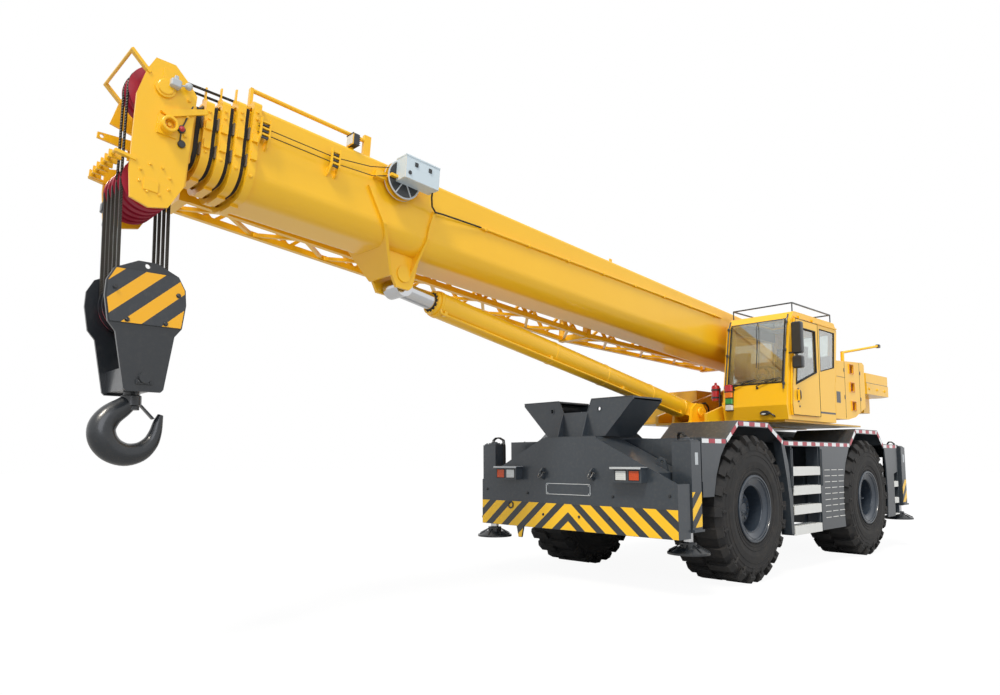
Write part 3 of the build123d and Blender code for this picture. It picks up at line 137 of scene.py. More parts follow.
look = Vector((-math.cos(YAW) * math.cos(PITCH), -math.sin(YAW) * math.cos(PITCH), math.sin(PITCH)))
right = Vector((-math.sin(YAW), math.cos(YAW), 0))
up = right.cross(look)
camera_data = bpy.data.cameras.new("photo_camera")
camera = bpy.data.objects.new("photo_camera", camera_data)
bpy.context.scene.collection.objects.link(camera)
turn = Matrix((right, up, -look)).transposed().to_4x4()
camera.matrix_world = Matrix.Translation(camera_place) @ turn @ Matrix.Rotation(ROLL, 4, "Z")
camera_data.sensor_width = sensor_width
camera_data.lens = focal_length / photo_width * sensor_width
camera_data.shift_x = 0.0223
camera_data.shift_y = 0.0503
camera_data.clip_end = 300
bpy.context.scene.camera = camera
print("lens", round(camera_data.lens, 2), "mm")

# %% [markdown]
# ## Sky and floor
# A catalogue picture has a white background and soft shadows. A brighter lamp would give the white,
# but it would also bleach the paint. So the sky lights the crane at a plain level, and only rays
# that look at it directly, through glass or by a reflection see it white. The floor is an ordinary
# matt surface mixed with a white glow for such rays, so that it keeps the crane's faint shadow.

# %% Make the sky
def seen_by(tree, *rays):
    """1 for the kinds of ray that look at a surface, 0 where light only bounces off it."""
    path = add(tree, "ShaderNodeLightPath")
    seen = path.outputs[rays[0]]
    for ray in rays[1:]:
        seen = add(tree, "ShaderNodeMath", {0: seen, 1: path.outputs[ray]}, operation="MAXIMUM").outputs[0]
    return seen


scene = bpy.context.scene
scene.view_settings.view_transform = "Standard"
world = bpy.data.worlds.new("studio")
scene.world = world
world.use_nodes = True
sky = world.node_tree
sky.nodes.clear()
seen = seen_by(sky, "Is Camera Ray", "Is Transmission Ray", "Is Glossy Ray")
fill = add(sky, "ShaderNodeBackground", {"Color": linear("#e8eef5"), "Strength": 0.56})
white = add(sky, "ShaderNodeBackground", {"Color": (1, 1, 1, 1), "Strength": 1.0})
mixed = add(sky, "ShaderNodeMixShader", {0: seen, 1: fill.outputs[0], 2: white.outputs[0]})
add(sky, "ShaderNodeOutputWorld", {"Surface": mixed.outputs[0]})
print("sky ready")

# %% Make the floor
floor_reach = 90  # metres, far enough to meet the sky in every view
floor_material, tree, shader, place = start_material("matt_white_floor", "#bebebe", Roughness=0.9)
seen = seen_by(tree, "Is Camera Ray", "Is Transmission Ray")
share = add(tree, "ShaderNodeMath", {0: seen, 1: 0.87}, operation="MULTIPLY")
glow = add(tree, "ShaderNodeEmission", {"Color": (1, 1, 1, 1), "Strength": 1.08})
mixed = add(tree, "ShaderNodeMixShader", {0: share.outputs[0], 1: shader.outputs[0], 2: glow.outputs[0]})
tree.links.new(mixed.outputs[0], tree.nodes["Material Output"].inputs["Surface"])

floor_mesh = bpy.data.meshes.new("floor")
floor_corners = [(x * floor_reach, y * floor_reach, 0) for x, y in ((-1, -1), (1, -1), (1, 1), (-1, 1))]
floor_mesh.from_pydata(floor_corners, [], [(0, 1, 2, 3)])
floor_mesh.materials.append(floor_material)
floor = bpy.data.objects.new("floor", floor_mesh)
scene.collection.objects.link(floor)
print("floor ready")

# %% [markdown]
# ## Two lamps
# The photograph shows one broad light from above the camera and a weaker one from the side. Area
# lamps would do for a small object. A crane with its boom out is over forty metres long, so suns
# are used, which light all of it evenly. Their width in degrees sets how soft a shadow's edge is.

# %% Hang the lamps
# Columns: name, direction the light comes from, strength, width in degrees, colour
lamps = [
    ("key_sun", (0.75, 0.35, 1.15), 2.65, 14, "#fff7ea"),
    ("side_sun", (0.35, 1.0, 0.45), 0.9, 40, "#f2f6ff"),
]
for name, source, strength, width, colour in lamps:
    data = bpy.data.lights.new(name, "SUN")
    data.energy = strength
    data.angle = math.radians(width)
    data.color = linear(colour)[:3]
    lamp = bpy.data.objects.new(name, data)
    lamp.rotation_euler = Vector(source).to_track_quat("Z", "Y").to_euler()
    scene.collection.objects.link(lamp)
print("lamps:", len(lamps))

# %% [markdown]
# ## Machine enamel
# Cranes are sprayed with two-pack polyurethane enamel over blasted steel. It is glossy with a faint
# orange peel, its tone drifts a little from plate to plate, and dust settles on what looks up. An
# image could carry all that, but it would have to be unwrapped for every plate. Noise that is read
# from the place on the crane needs no unwrapping and runs on from one plate to the next. One
# function mixes the tones, the dust and the peel, and the paints differ only in their numbers.
#
# The same function can paint slanted warning stripes. They are worked out from a distance along a
# slanted direction, so they meet in a point where the two halves of a plate mirror each other.

# %% The paint recipe
STRIPE_BLACK = "#252a30"


def striped(tree, where, paint, direction, period, share, start, mirrored):
    """The paint in slanted stripes on black: period in metres, share painted, mirrored or not."""
    if mirrored:
        where = add(tree, "ShaderNodeVectorMath", {0: where}, operation="ABSOLUTE").outputs[0]
    across = add(tree, "ShaderNodeVectorMath", {0: where, 1: direction}, operation="DOT_PRODUCT")
    counted = {0: across.outputs["Value"], 1: 1 / period, 2: -start}
    stripe = add(tree, "ShaderNodeMath", counted, operation="MULTIPLY_ADD")
    part = add(tree, "ShaderNodeMath", {0: stripe.outputs[0]}, operation="FRACT")
    inside = add(tree, "ShaderNodeMath", {0: part.outputs[0], 1: share}, operation="LESS_THAN")
    colours = {"Factor": inside.outputs[0], MIX_A: linear(STRIPE_BLACK), MIX_B: paint}
    return add(tree, "ShaderNodeMix", colours, data_type="RGBA").outputs[MIX_OUT]


def enamel(name, colour, shade, dust="#b3a88f", dust_amount=0.10, roughness=0.32, coat=0.35, stripes=None):
    """Sprayed enamel: two close tones in clouds, dust on faces that look up, and orange peel."""
    material, tree, shader, place = start_material(name, Coat_Weight=coat, Coat_Roughness=0.12)
    where = place.outputs["Object"]
    # The tone drifts over about three quarters of a metre, the width of a spray pass and its overlap.
    clouds = add(tree, "ShaderNodeTexNoise", {"Vector": where, "Scale": per_metre(769.2), "Detail": 5.0})
    colours = {"Factor": clouds.outputs["Fac"], MIX_A: linear(colour), MIX_B: linear(shade)}
    paint = add(tree, "ShaderNodeMix", colours, data_type="RGBA").outputs[MIX_OUT]
    if stripes:
        paint = striped(tree, where, paint, *stripes)
    # Dust collects in specks of a few centimetres, and four times more on faces that look up.
    grime = {"Vector": where, "Scale": per_metre(45.45), "Detail": 8.0, "Roughness": 0.7}
    specks = add(tree, "ShaderNodeTexNoise", grime).outputs["Fac"]
    facing = add(tree, "ShaderNodeSeparateXYZ", {0: place.outputs["Normal"]}).outputs["Z"]
    slope = {"Value": facing, "From Min": 0.2, "From Max": 1.0, "To Min": 0.25, "To Max": 1.0}
    upward = add(tree, "ShaderNodeMapRange", slope)
    patches = {"Value": specks, "From Min": 0.48, "From Max": 0.75, "To Max": dust_amount}
    patch = add(tree, "ShaderNodeMapRange", patches)
    amount = add(tree, "ShaderNodeMath", {0: patch.outputs[0], 1: upward.outputs[0]}, operation="MULTIPLY")
    colours = {"Factor": amount.outputs[0], MIX_A: paint, MIX_B: linear(dust)}
    dusty = add(tree, "ShaderNodeMix", colours, data_type="RGBA")
    tree.links.new(dusty.outputs[MIX_OUT], shader.inputs["Base Color"])
    # Where dust lies the gloss is lower, so the same specks also drive the roughness.
    polish = {"Value": specks, "To Min": roughness - 0.06, "To Max": roughness + 0.14}
    gloss = add(tree, "ShaderNodeMapRange", polish)
    tree.links.new(gloss.outputs[0], shader.inputs["Roughness"])
    # Real orange peel is about 2 mm across. It is drawn at 12.5 mm so that it shows.
    peel = add(tree, "ShaderNodeTexNoise", {"Vector": where, "Scale": per_metre(12.5), "Detail": 2.0})
    bump = add(tree, "ShaderNodeBump", {"Height": peel.outputs["Fac"], "Strength": 0.035, "Distance": 0.01})
    tree.links.new(bump.outputs[0], shader.inputs["Normal"])
    return material


print("paint recipe ready")

# %% [markdown]
# ## The crane's paints
# The upper works are signal yellow, the carrier is dark grey, and the hook block nearly black. Each
# paint is two tones that lie close together, because one flat tone makes a big plate look like a
# drawing. The wheels have a bluer grey, and the treads a chalky white that gets dirty first. The
# sheaves are cast nylon, which is dyed through and less glossy than paint, so it has no clear coat
# worth the name and more dust.

# %% Mix the paints
# The gloss and the clear coat give a plate its soft white streak, and the dust takes it off on top.
crane_enamel = enamel("crane_yellow_enamel", "#fbc41c", "#f4b912")
carrier_enamel = enamel("carrier_grey_enamel", "#333b43", "#2c3239", dust_amount=0.18, roughness=0.33)
hook_enamel = enamel("hook_black_enamel", "#1e2329", "#171b1f", dust_amount=0.08, roughness=0.3)
# Brake dust and mud are browner than road dust, so wheels and treads have their own dust colour.
wheel_enamel = enamel(
    "wheel_blue_grey_enamel", "#2f3945", "#262e38", dust="#8c8475", dust_amount=0.12, roughness=0.28
)
step_enamel = enamel(
    "step_white_enamel", "#e2e3e0", "#d3d4d0", dust="#8a8377", dust_amount=0.35, roughness=0.45
)
sheave_nylon = enamel(
    "sheave_red_nylon", "#b01c3c", "#9a1733", dust="#5c4444", dust_amount=0.2, roughness=0.4
)
vent_enamel = enamel("vent_orange_enamel", "#c4500c", "#b04408", dust_amount=0.12)
print("paints:", len(bpy.data.materials))

# %% [markdown]
# ## Bare metal
# A cylinder rod is hard chromed and then ground round and round, so its shine is drawn out along
# the rod. Bolts and shackles are mill steel with a film of oil, which stains darker in patches.
# Chrome could be one plain mirror. Fine lines in its roughness make it read as ground steel, and
# they cost one noise pattern that is stretched across the rod.

# %% Chrome and steel
hard_chrome, tree, shader, place = start_material(
    "ground_hard_chrome", "#cfd1d4", Metallic=1.0, Roughness=0.16
)
# Grinding lines lie under a tenth of a millimetre apart. They are drawn at 3.3 mm so that they show.
across_rod, along_line = per_metre(3.3333), per_metre(166.67)
stretch = {"Vector": place.outputs["Object"], "Scale": (across_rod, along_line, along_line)}
stretched = add(tree, "ShaderNodeMapping", stretch)
lines = add(tree, "ShaderNodeTexNoise", {"Vector": stretched.outputs[0], "Scale": 1.0, "Detail": 3.0})
gloss = add(tree, "ShaderNodeMapRange", {"Value": lines.outputs["Fac"], "To Min": 0.08, "To Max": 0.26})
tree.links.new(gloss.outputs[0], shader.inputs["Roughness"])

# Oil creeps into stains about 110 mm across. They keep a bolt from looking like new chrome.
steel, tree, shader, place = start_material("oiled_mill_steel", Metallic=1.0, Roughness=0.42)
patches = {"Vector": place.outputs["Object"], "Scale": per_metre(111.11), "Detail": 6.0}
stains = add(tree, "ShaderNodeTexNoise", patches)
colours = {"Factor": stains.outputs["Fac"], MIX_A: linear("#6d6f72"), MIX_B: linear("#4b4a48")}
tones = add(tree, "ShaderNodeMix", colours, data_type="RGBA")
tree.links.new(tones.outputs[MIX_OUT], shader.inputs["Base Color"])
print("metals ready")

# %% [markdown]
# ## Tyre rubber
# Tyres are natural rubber filled with carbon black and cured in a mould. New rubber is nearly black
# and a little shiny. After a day on site it is dull, and clay sits in it in patches. The patches
# are one noise that mixes a brown into the black, and a second, finer noise gives the skin of the
# mould its grain.

# %% Carbon black rubber
tyre_rubber, tree, shader, place = start_material("carbon_black_rubber", Roughness=0.78)
# Scuffed patches are as wide as a tread block, about 143 mm.
patches = {"Vector": place.outputs["Object"], "Scale": per_metre(142.86), "Detail": 9.0, "Roughness": 0.65}
scuffs = add(tree, "ShaderNodeTexNoise", patches)
clay = {"Value": scuffs.outputs["Fac"], "From Min": 0.45, "From Max": 0.8, "To Max": 0.45}
amount = add(tree, "ShaderNodeMapRange", clay)
colours = {"Factor": amount.outputs[0], MIX_A: linear("#171718"), MIX_B: linear("#3d3731")}
tones = add(tree, "ShaderNodeMix", colours, data_type="RGBA")
tree.links.new(tones.outputs[MIX_OUT], shader.inputs["Base Color"])
# The mould's grain is about 1 mm. It is drawn at 5.6 mm so that it shows.
pits = {"Vector": place.outputs["Object"], "Scale": per_metre(5.5556), "Detail": 4.0}
grain = add(tree, "ShaderNodeTexNoise", pits)
bump = add(tree, "ShaderNodeBump", {"Height": grain.outputs["Fac"], "Strength": 0.18, "Distance": 0.004})
tree.links.new(bump.outputs[0], shader.inputs["Normal"])
print("rubber ready")

# %% [markdown]
# ## Tinted glass
# Cab panes are tempered safety glass with a faint green tint. What tells the eye that a pane is
# there is its reflection of the sky, more than its colour. The shader lets nearly all light
# through. A clear coat with a high refractive index adds the strong reflection that flat panes show
# in the photograph, and a film of dust breaks it up.

# %% Tinted safety glass
tinted_glass, tree, shader, place = start_material(
    "tinted_safety_glass",
    "#e3ece9",
    Roughness=0.02,
    IOR=1.5,
    Transmission_Weight=0.95,
    Coat_Weight=1.0,
    Coat_Roughness=0.02,
    Coat_IOR=2.1,
)
# Wiped dust dries in smears about 200 mm across.
smears = {"Vector": place.outputs["Object"], "Scale": per_metre(200), "Detail": 6.0}
film = add(tree, "ShaderNodeTexNoise", smears)
gloss = add(tree, "ShaderNodeMapRange", {"Value": film.outputs["Fac"], "To Min": 0.0, "To Max": 0.06})
tree.links.new(gloss.outputs[0], shader.inputs["Roughness"])
print("glass ready")

# %% [markdown]
# ## Inside the cab
# The seat is covered in a plain weave, and the console is ABS that was moulded against an etched
# tool, which leaves a fine leather grain. Both are seen through glass from ten metres away. A
# modelled weave would be lost there, so two crossed wave patterns stand for warp and weft, and
# round cells for the grain.

# %% Seat cloth and console plastic
seat_cloth, tree, shader, place = start_material("woven_seat_cloth", Roughness=0.92)
# Yarns are 1.5 mm apart. They are drawn at 12 mm so that the weave shows.
yarns = {"Vector": place.outputs["Object"], "Scale": bands(12.083)}
warp = add(tree, "ShaderNodeTexWave", yarns, bands_direction="Y")
weft = add(tree, "ShaderNodeTexWave", yarns, bands_direction="Z")
weave = add(tree, "ShaderNodeMath", {0: warp.outputs["Fac"], 1: weft.outputs["Fac"]}, operation="MULTIPLY")
colours = {"Factor": weave.outputs[0], MIX_A: linear("#1a1b1e"), MIX_B: linear("#303236")}
tones = add(tree, "ShaderNodeMix", colours, data_type="RGBA")
tree.links.new(tones.outputs[MIX_OUT], shader.inputs["Base Color"])
bump = add(tree, "ShaderNodeBump", {"Height": weave.outputs[0], "Strength": 0.3, "Distance": 0.002})
tree.links.new(bump.outputs[0], shader.inputs["Normal"])

console_plastic, tree, shader, place = start_material("grained_abs_plastic", Roughness=0.6)
# The etched grain is about 1 mm. It is drawn at 4.5 mm, and it keeps the plastic from shining.
grain = add(tree, "ShaderNodeTexVoronoi", {"Vector": place.outputs["Object"], "Scale": per_metre(4.5455)})
colours = {"Factor": grain.outputs["Distance"], MIX_A: linear("#17181a"), MIX_B: linear("#26282b")}
tones = add(tree, "ShaderNodeMix", colours, data_type="RGBA")
tree.links.new(tones.outputs[MIX_OUT], shader.inputs["Base Color"])
bump = add(tree, "ShaderNodeBump", {"Height": grain.outputs["Distance"], "Strength": 0.2, "Distance": 0.002})
tree.links.new(bump.outputs[0], shader.inputs["Normal"])
print("cab materials ready")

# %% [markdown]
# ## Wire rope
# Hoist rope is laid from steel strands and kept in dark grease, so only the crowns of the strands
# shine. The strands could be modelled as twisted tubes, but ninety metres of them would cost more
# than the rest of the crane. A slanted wave pattern in colour and bump gives the same rhythm.

# %% Greased wire rope
wire_rope, tree, shader, place = start_material("greased_wire_rope", Metallic=1.0, Roughness=0.5)
# The strands of a 22 mm rope cross about every 21 mm along it, which is twice a diagonal wave's band.
strands = {"Vector": place.outputs["Object"], "Scale": bands(10.472), "Distortion": 0.6}
lay = add(tree, "ShaderNodeTexWave", strands, bands_direction="DIAGONAL")
colours = {"Factor": lay.outputs["Fac"], MIX_A: linear("#1b1b1b"), MIX_B: linear("#514e49")}
tones = add(tree, "ShaderNodeMix", colours, data_type="RGBA")
tree.links.new(tones.outputs[MIX_OUT], shader.inputs["Base Color"])
bump = add(tree, "ShaderNodeBump", {"Height": lay.outputs["Fac"], "Strength": 0.6, "Distance": 0.004})
tree.links.new(bump.outputs[0], shader.inputs["Normal"])
print("materials:", len(bpy.data.materials))

# %% [markdown]
# ## Dressing the CAD nodes
# Each CAD node keeps its shape. It gets its finish and a narrow bevel, because no real edge is
# perfectly sharp, and the small highlight along an edge is what makes a plate look like steel. The
# bevel is a modifier, so the solid underneath stays as it was packed. Big castings such as the
# counterweight are rounder than cut plate, and panes, thin lattice and rope get no bevel at all.

# %% Give each node its finish
corners = ["front_left", "front_right", "rear_left", "rear_right"]
upper_works = ["turntable", "counterweight", "side_cover", "cab", "door", "luff_barrel"]
boom_parts = ["boom_base", "luff_bracket", "jib", "boom_head"] + [f"boom_section_{n}" for n in (1, 2, 3, 4)]
frame_parts = ["chassis", "front_box", "front_plate", "rear_box", "boom_rest", "front_axle", "rear_axle"]
body_parts = ["front_hood", "engine_hood", "engine", "left_deck", "right_deck"]
moving_arms = [f"{part}_{corner}" for part in ("knuckle", "beam") for corner in corners]
finish_of = {
    crane_enamel: upper_works + boom_parts,
    carrier_enamel: frame_parts + body_parts + moving_arms,
    hook_enamel: ["hook_block", "hook", "cab_fittings"],
    wheel_enamel: [f"rim_{corner}" for corner in corners],
    tyre_rubber: [f"tyre_{corner}" for corner in corners],
    step_enamel: ["left_steps", "right_steps"],
    sheave_nylon: ["head_sheaves", "block_sheaves"],
    hard_chrome: ["luff_rod"] + [f"jack_{corner}" for corner in corners],
    tinted_glass: ["cab_glass", "door_glass"],
    seat_cloth: ["driver_seat"],
    console_plastic: ["console"],
    wire_rope: ["rope_falls", "winches"],
}
left_sharp = ("cab_glass", "door_glass", "rope_falls", "jib")
plate_edge = 0.005  # metres
edge_of = {"tyre": 0.008, "rim": 0.004, "boom": 0.004, "counterweight": 0.02, "hook": 0.01}
for material, nodes in finish_of.items():
    for node in nodes:
        solid = frame["nodes"][node]
        solid.data.materials.clear()
        solid.data.materials.append(material)
        if node in left_sharp:
            continue
        bevel = solid.modifiers.new("edge", "BEVEL")
        bevel.width = next((width for start, width in edge_of.items() if node.startswith(start)), plate_edge)
        bevel.segments = 2
        bevel.limit_method = "ANGLE"
        bevel.angle_limit = math.radians(40)
        bevel.harden_normals = False
print("nodes dressed:", sum(len(nodes) for nodes in finish_of.values()), "of", len(frame["nodes"]))

# %% [markdown]
# ## Three drawing tables
# A draughtsman draws the carrier level, but the boom along its own axis, because its sections slide
# along it. The same is done here. Points of the boom are (along, across, normal) from its pin, and
# points of the luffing cylinder are the same from its foot. A matrix puts each drawing in its
# place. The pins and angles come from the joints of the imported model, so they can't drift apart.

# %% Set up the drawing tables
MM = 0.001
joints = {joint["name"]: joint for joint in frame["record"]["behaviour"]["joints"]}
slewing_x = joints["slew"]["pos_m"][0]
boom_pin = joints["luff"]["pos_m"]
boom_angle = math.atan2(joints["extend_1"]["axis"][2], joints["extend_1"]["axis"][0])
barrel_pin = joints["luff_barrel_swing"]["pos_m"]
barrel_angle = math.atan2(joints["luff_rod_slide"]["axis"][2], joints["luff_rod_slide"]["axis"][0])

on_crane = Matrix.Translation((slewing_x, 0, 0))
on_boom = Matrix.Translation(boom_pin) @ Matrix.Rotation(-boom_angle, 4, "Y")
on_cylinder = Matrix.Translation(barrel_pin) @ Matrix.Rotation(-barrel_angle, 4, "Y")
print("boom angle", round(math.degrees(boom_angle), 2), "degrees")
print("cylinder angle", round(math.degrees(barrel_angle), 2), "degrees")

# %% [markdown]
# ## Flat stock: plates and slabs
# Nearly every detail on a crane is one of a few shop products: a chamfered plate, a turned part, a
# ring, a bent pipe, a bolt. Each could start as one of Blender's own shapes with modifiers on it.
# Here each is a short function that gives points and faces, because hundreds of them are then
# joined into a few objects, and a list of points says in millimetres where everything is. A chamfer
# of a few millimetres is drawn on every plate, because it catches the light.

# %% Plates and slabs
def basis(axis):
    """A direction and two more at right angles to it."""
    named = {"X": (1, 0, 0), "Y": (0, 1, 0), "Z": (0, 0, 1)}
    direction = Vector(named[axis]) if isinstance(axis, str) else Vector(axis).normalized()
    helper = Vector((0, 0, 1)) if abs(direction.z) < 0.9 else Vector((1, 0, 0))
    across = direction.cross(helper).normalized()
    return direction, across, direction.cross(across)


def skin(loops, wrap=False):
    """Joins equal loops of points with faces. The ends are closed, or joined when wrap is set."""
    count = len(loops[0])
    points = [point for loop in loops for point in loop]
    pairs = len(loops) if wrap else len(loops) - 1
    faces = []
    for i in range(pairs):
        a, b = i * count, (i + 1) % len(loops) * count
        faces += [(a + j, a + (j + 1) % count, b + (j + 1) % count, b + j) for j in range(count)]
    if not wrap:
        faces += [tuple(range(count)), tuple(range(len(points) - count, len(points)))]
    return points, faces


def upright(outline, axis, level):
    """An outline of pairs as points at one level of the third axis."""
    if axis == "X":
        return [(level, u, v) for u, v in outline]
    if axis == "Y":
        return [(u, level, v) for u, v in outline]
    return [(u, v, level) for u, v in outline]


def plate(outline, axis, a, b, edge=3):
    """An outline in the two other axes, extruded from a to b, with chamfered edges."""
    low, high = min(a, b), max(a, b)
    edge = min(edge, (high - low) / 3)
    middle = [sum(values) / len(outline) for values in zip(*outline)]
    reach = max(math.dist(point, middle) for point in outline)
    shrink = 1 - edge / reach
    inner = [[m + (value - m) * shrink for value, m in zip(point, middle)] for point in outline]
    layers = ((low, inner), (low + edge, outline), (high - edge, outline), (high, inner))
    return skin([upright(loop, axis, level) for level, loop in layers])


def slab(x0, x1, y0, y1, z0, z1, edge=3):
    """A block with all its edges chamfered."""
    x0, x1, y0, y1, z0, z1 = min(x0, x1), max(x0, x1), min(y0, y1), max(y0, y1), min(z0, z1), max(z0, z1)
    edge = min(edge, (x1 - x0) / 3, (y1 - y0) / 3, (z1 - z0) / 3)
    loops = []
    for z, inset in ((z0, edge), (z0 + edge, 0), (z1 - edge, 0), (z1, edge)):
        a, b, c, d = x0 + inset, x1 - inset, y0 + inset, y1 - inset
        front_and_right = [(a + edge, c), (b - edge, c), (b, c + edge), (b, d - edge)]
        back_and_left = [(b - edge, d), (a + edge, d), (a, d - edge), (a, c + edge)]
        loops.append([(x, y, z) for x, y in front_and_right + back_and_left])
    return skin(loops)


print("flat stock ready")

# %% [markdown]
# ## Round stock: turned parts, rings and pipes
# A pin cap comes off a lathe, a rim's lock ring is rolled, and a handrail is bent from pipe. The
# first two carry a cross section round an axis. A pipe carries a circle along its line, which turns
# as little as possible on the way, so that the pipe doesn't twist. At a bend the circle lies in the
# mitre and is widened, or the pipe would look pinched there.

# %% Turned parts, rings and pipes
thinnest = 0.1  # a turned part's point is this wide, so that no face has its corners on one spot


def turned(profile, centre, axis="Y", steps=24):
    """A turned part: (radius, along) pairs round an axis, closed at both ends."""
    direction, across, third = basis(axis)
    loops = []
    for radius, along in profile:
        loop = []
        for i in range(steps):
            angle = math.tau * i / steps
            outward = across * math.cos(angle) + third * math.sin(angle)
            loop.append(Vector(centre) + direction * along + outward * max(radius, thinnest))
        loops.append(loop)
    return skin(loops)


def hoop(section, centre, axis="Y", steps=48):
    """A ring: a closed cross section of (radius, along) pairs carried round an axis."""
    direction, across, third = basis(axis)
    loops = []
    for i in range(steps):
        angle = math.tau * i / steps
        outward = across * math.cos(angle) + third * math.sin(angle)
        loops.append([Vector(centre) + direction * along + outward * radius for radius, along in section])
    return skin(loops, wrap=True)


def bead(radius, along, width, height):
    """The cross section of a rounded raised ring."""
    top = along + height
    foot_in, foot_out = radius - width / 2, radius + width / 2
    return [(foot_in, along), (radius - width / 4, top), (radius + width / 4, top), (foot_out, along)]


def tube(points, radius, steps=10, closed=False):
    """A pipe along straight runs, mitred where it turns."""
    points = [Vector(point) for point in points]
    count = len(points)
    loops = []
    across = None
    for i, point in enumerate(points):
        before = points[i - 1] if i or closed else point - (points[1] - point)
        after = points[(i + 1) % count] if i < count - 1 or closed else point + (point - points[i - 1])
        arriving, leaving = (point - before).normalized(), (after - point).normalized()
        direction = (arriving + leaving).normalized()
        if across is None:
            across = basis(direction)[1]
        across = (across - direction * across.dot(direction)).normalized()
        third = direction.cross(across)
        widen = 1 / max(direction.dot(leaving), 0.5)
        side = leaving - arriving
        side = side.normalized() if side.length > 1e-6 else None
        loop = []
        for j in range(steps):
            angle = math.tau * (j + 0.5) / steps
            spoke = across * math.cos(angle) + third * math.sin(angle)
            if side is not None:
                spoke += side * spoke.dot(side) * (widen - 1)
            loop.append(point + spoke * radius)
        loops.append(loop)
    return skin(loops, wrap=closed)


print("round stock ready")

# %% [markdown]
# ## Fasteners and seals
# A bolt on the crane is a washer and a hexagon head with a turned chamfer. Its thread is inside the
# steel, so it isn't made. Bolts sit in circles on nearly every cap, so one function gives a circle
# of them. A gasket is a rubber strip that is pressed round a pane, and that is a closed pipe.

# %% Bolts and gaskets
def bolt(centre, axis="Y", size=24, sign=1):
    """A washer and a hexagon head with a chamfered top; size is the width across the head."""
    flat_to_corner = size / math.sqrt(3)
    washer_profile = [(size * 0.75, 0), (size * 0.75, sign * 3), (flat_to_corner, sign * 3.2)]
    head_profile = [
        (flat_to_corner, 0),
        (flat_to_corner, sign * size * 0.5),
        (flat_to_corner * 0.82, sign * size * 0.62),
    ]
    return [turned(washer_profile, centre, axis, 16), turned(head_profile, centre, axis, 6)]


def flat(lists):
    """One list from a list of lists."""
    return [item for items in lists for item in items]


def bolt_circle(centre, radius, count, axis="Y", size=24, sign=1, start=0):
    """Bolts on a circle that looks along an axis; start is in steps from the top."""
    x, y, z = centre
    bolts = []
    for i in range(count):
        angle = math.tau * (i + start) / count
        u, v = radius * math.sin(angle), radius * math.cos(angle)
        bolts += bolt((x, y + u, z + v) if axis == "X" else (x + u, y, z + v), axis, size, sign)
    return bolts


def gasket(outline, axis, level, width=14):
    """A rubber strip that follows a closed outline."""
    return tube(upright(outline, axis, level), width / 2, 6, closed=True)


def oval(centre, half_width, half_height, steps):
    """The outline of an oval lamp or plate."""
    turns = [math.tau * i / steps for i in range(steps)]
    return [(centre[0] + half_width * math.cos(a), centre[1] + half_height * math.sin(a)) for a in turns]


print("fasteners ready")

# %% [markdown]
# ## From shapes to a piece
# All shapes of one finish on one body become one object. That keeps the scene at under two hundred
# objects, while each can still move with its body. Faces are shaded smooth and edges over 35
# degrees are kept sharp, so round stock looks round and chamfers look cut.

# %% Build a piece
sharp_edge = math.radians(35)


def piece(name, body, material, shapes, place=on_crane, between=None):
    """Joins shapes into one object that rides on a body. With between set it rides on no body, and what
    between holds is not used.
    """
    build = bmesh.new()
    for points, faces in shapes:
        corners_of = [build.verts.new(place @ (Vector(point) * MM)) for point in points]
        for face in faces:
            build.faces.new([corners_of[i] for i in face])
    bmesh.ops.recalc_face_normals(build, faces=build.faces)
    for face in build.faces:
        face.smooth = True
    for edge in build.edges:
        edge.smooth = edge.calc_face_angle(0) < sharp_edge
    mesh = bpy.data.meshes.new(name)
    build.to_mesh(mesh)
    build.free()
    mesh.materials.append(material)
    obj = bpy.data.objects.new(name, mesh)
    scene.collection.objects.link(obj)
    if between:
        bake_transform(obj)
    else:
        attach(obj, body)
    return obj


# %% [markdown]
# ## Tyre sidewalls
# An earthmover tyre is more than its blocks. Raised rings run round the sidewall, and a rubber bar
# under each block stiffens the shoulder. A bump texture could draw them, but the photograph sees
# the tyres from low down, where only a real ridge breaks the outline. So each ring is a rounded
# bead carried round the axle, and each bar is a short pipe that is half sunk in the rubber.

# %% Rings and bars of a tyre
axle_height, half_wheelbase, half_track = 935, 1965, 1240
corner_places = [("front_left", 1, 1), ("front_right", 1, -1), ("rear_left", -1, 1), ("rear_right", -1, -1)]
ring_steps = 64
bars_a_side = 22
# Columns: radius, distance from the tyre's middle, width, height
sidewall_rings = [(468, 339, 34, 9), (524, 346, 14, 9), (680, 352, 12, 7), (742, 347, 16, 8)]


def shoulder_bar(hub, face, angle):
    """A rubber bar from the sidewall up to the tread, at an angle round the hub."""
    out = Vector((math.sin(angle), 0, math.cos(angle)))
    foot, top = Vector(hub) + out * 752, Vector(hub) + out * 832
    shift = Vector((0, face * 346, 0))
    return tube([foot + shift, (foot + top) / 2 + shift * 1.004, top + shift * 0.985], 17, 6)


def sidewalls(hub):
    """All that stands out of a tyre's two sidewalls. The bars of one face lie between the other's."""
    rubber = []
    for face in (-1, 1):
        for radius, out, width, height in sidewall_rings:
            rubber.append(hoop(bead(radius, face * out, width, face * height), hub, steps=ring_steps))
        for i in range(bars_a_side):
            rubber.append(shoulder_bar(hub, face, math.tau * (2 * i + (face > 0)) / (2 * bars_a_side)))
    return rubber


print("bars on a tyre:", 2 * bars_a_side)

# %% [markdown]
# ## Rims and wheel nuts
# The tyre is held by a lock ring that springs into the rim's edge, and the hub in the dish covers a
# planetary gear. Both are lathe shapes, so they are drawn as half a cross section and turned. The
# section is drawn for the left side, and a sign turns it to face the other way. Three circles of
# bolts finish the wheel: the nuts at the bottom of the dish, the hub's, and the cover's.

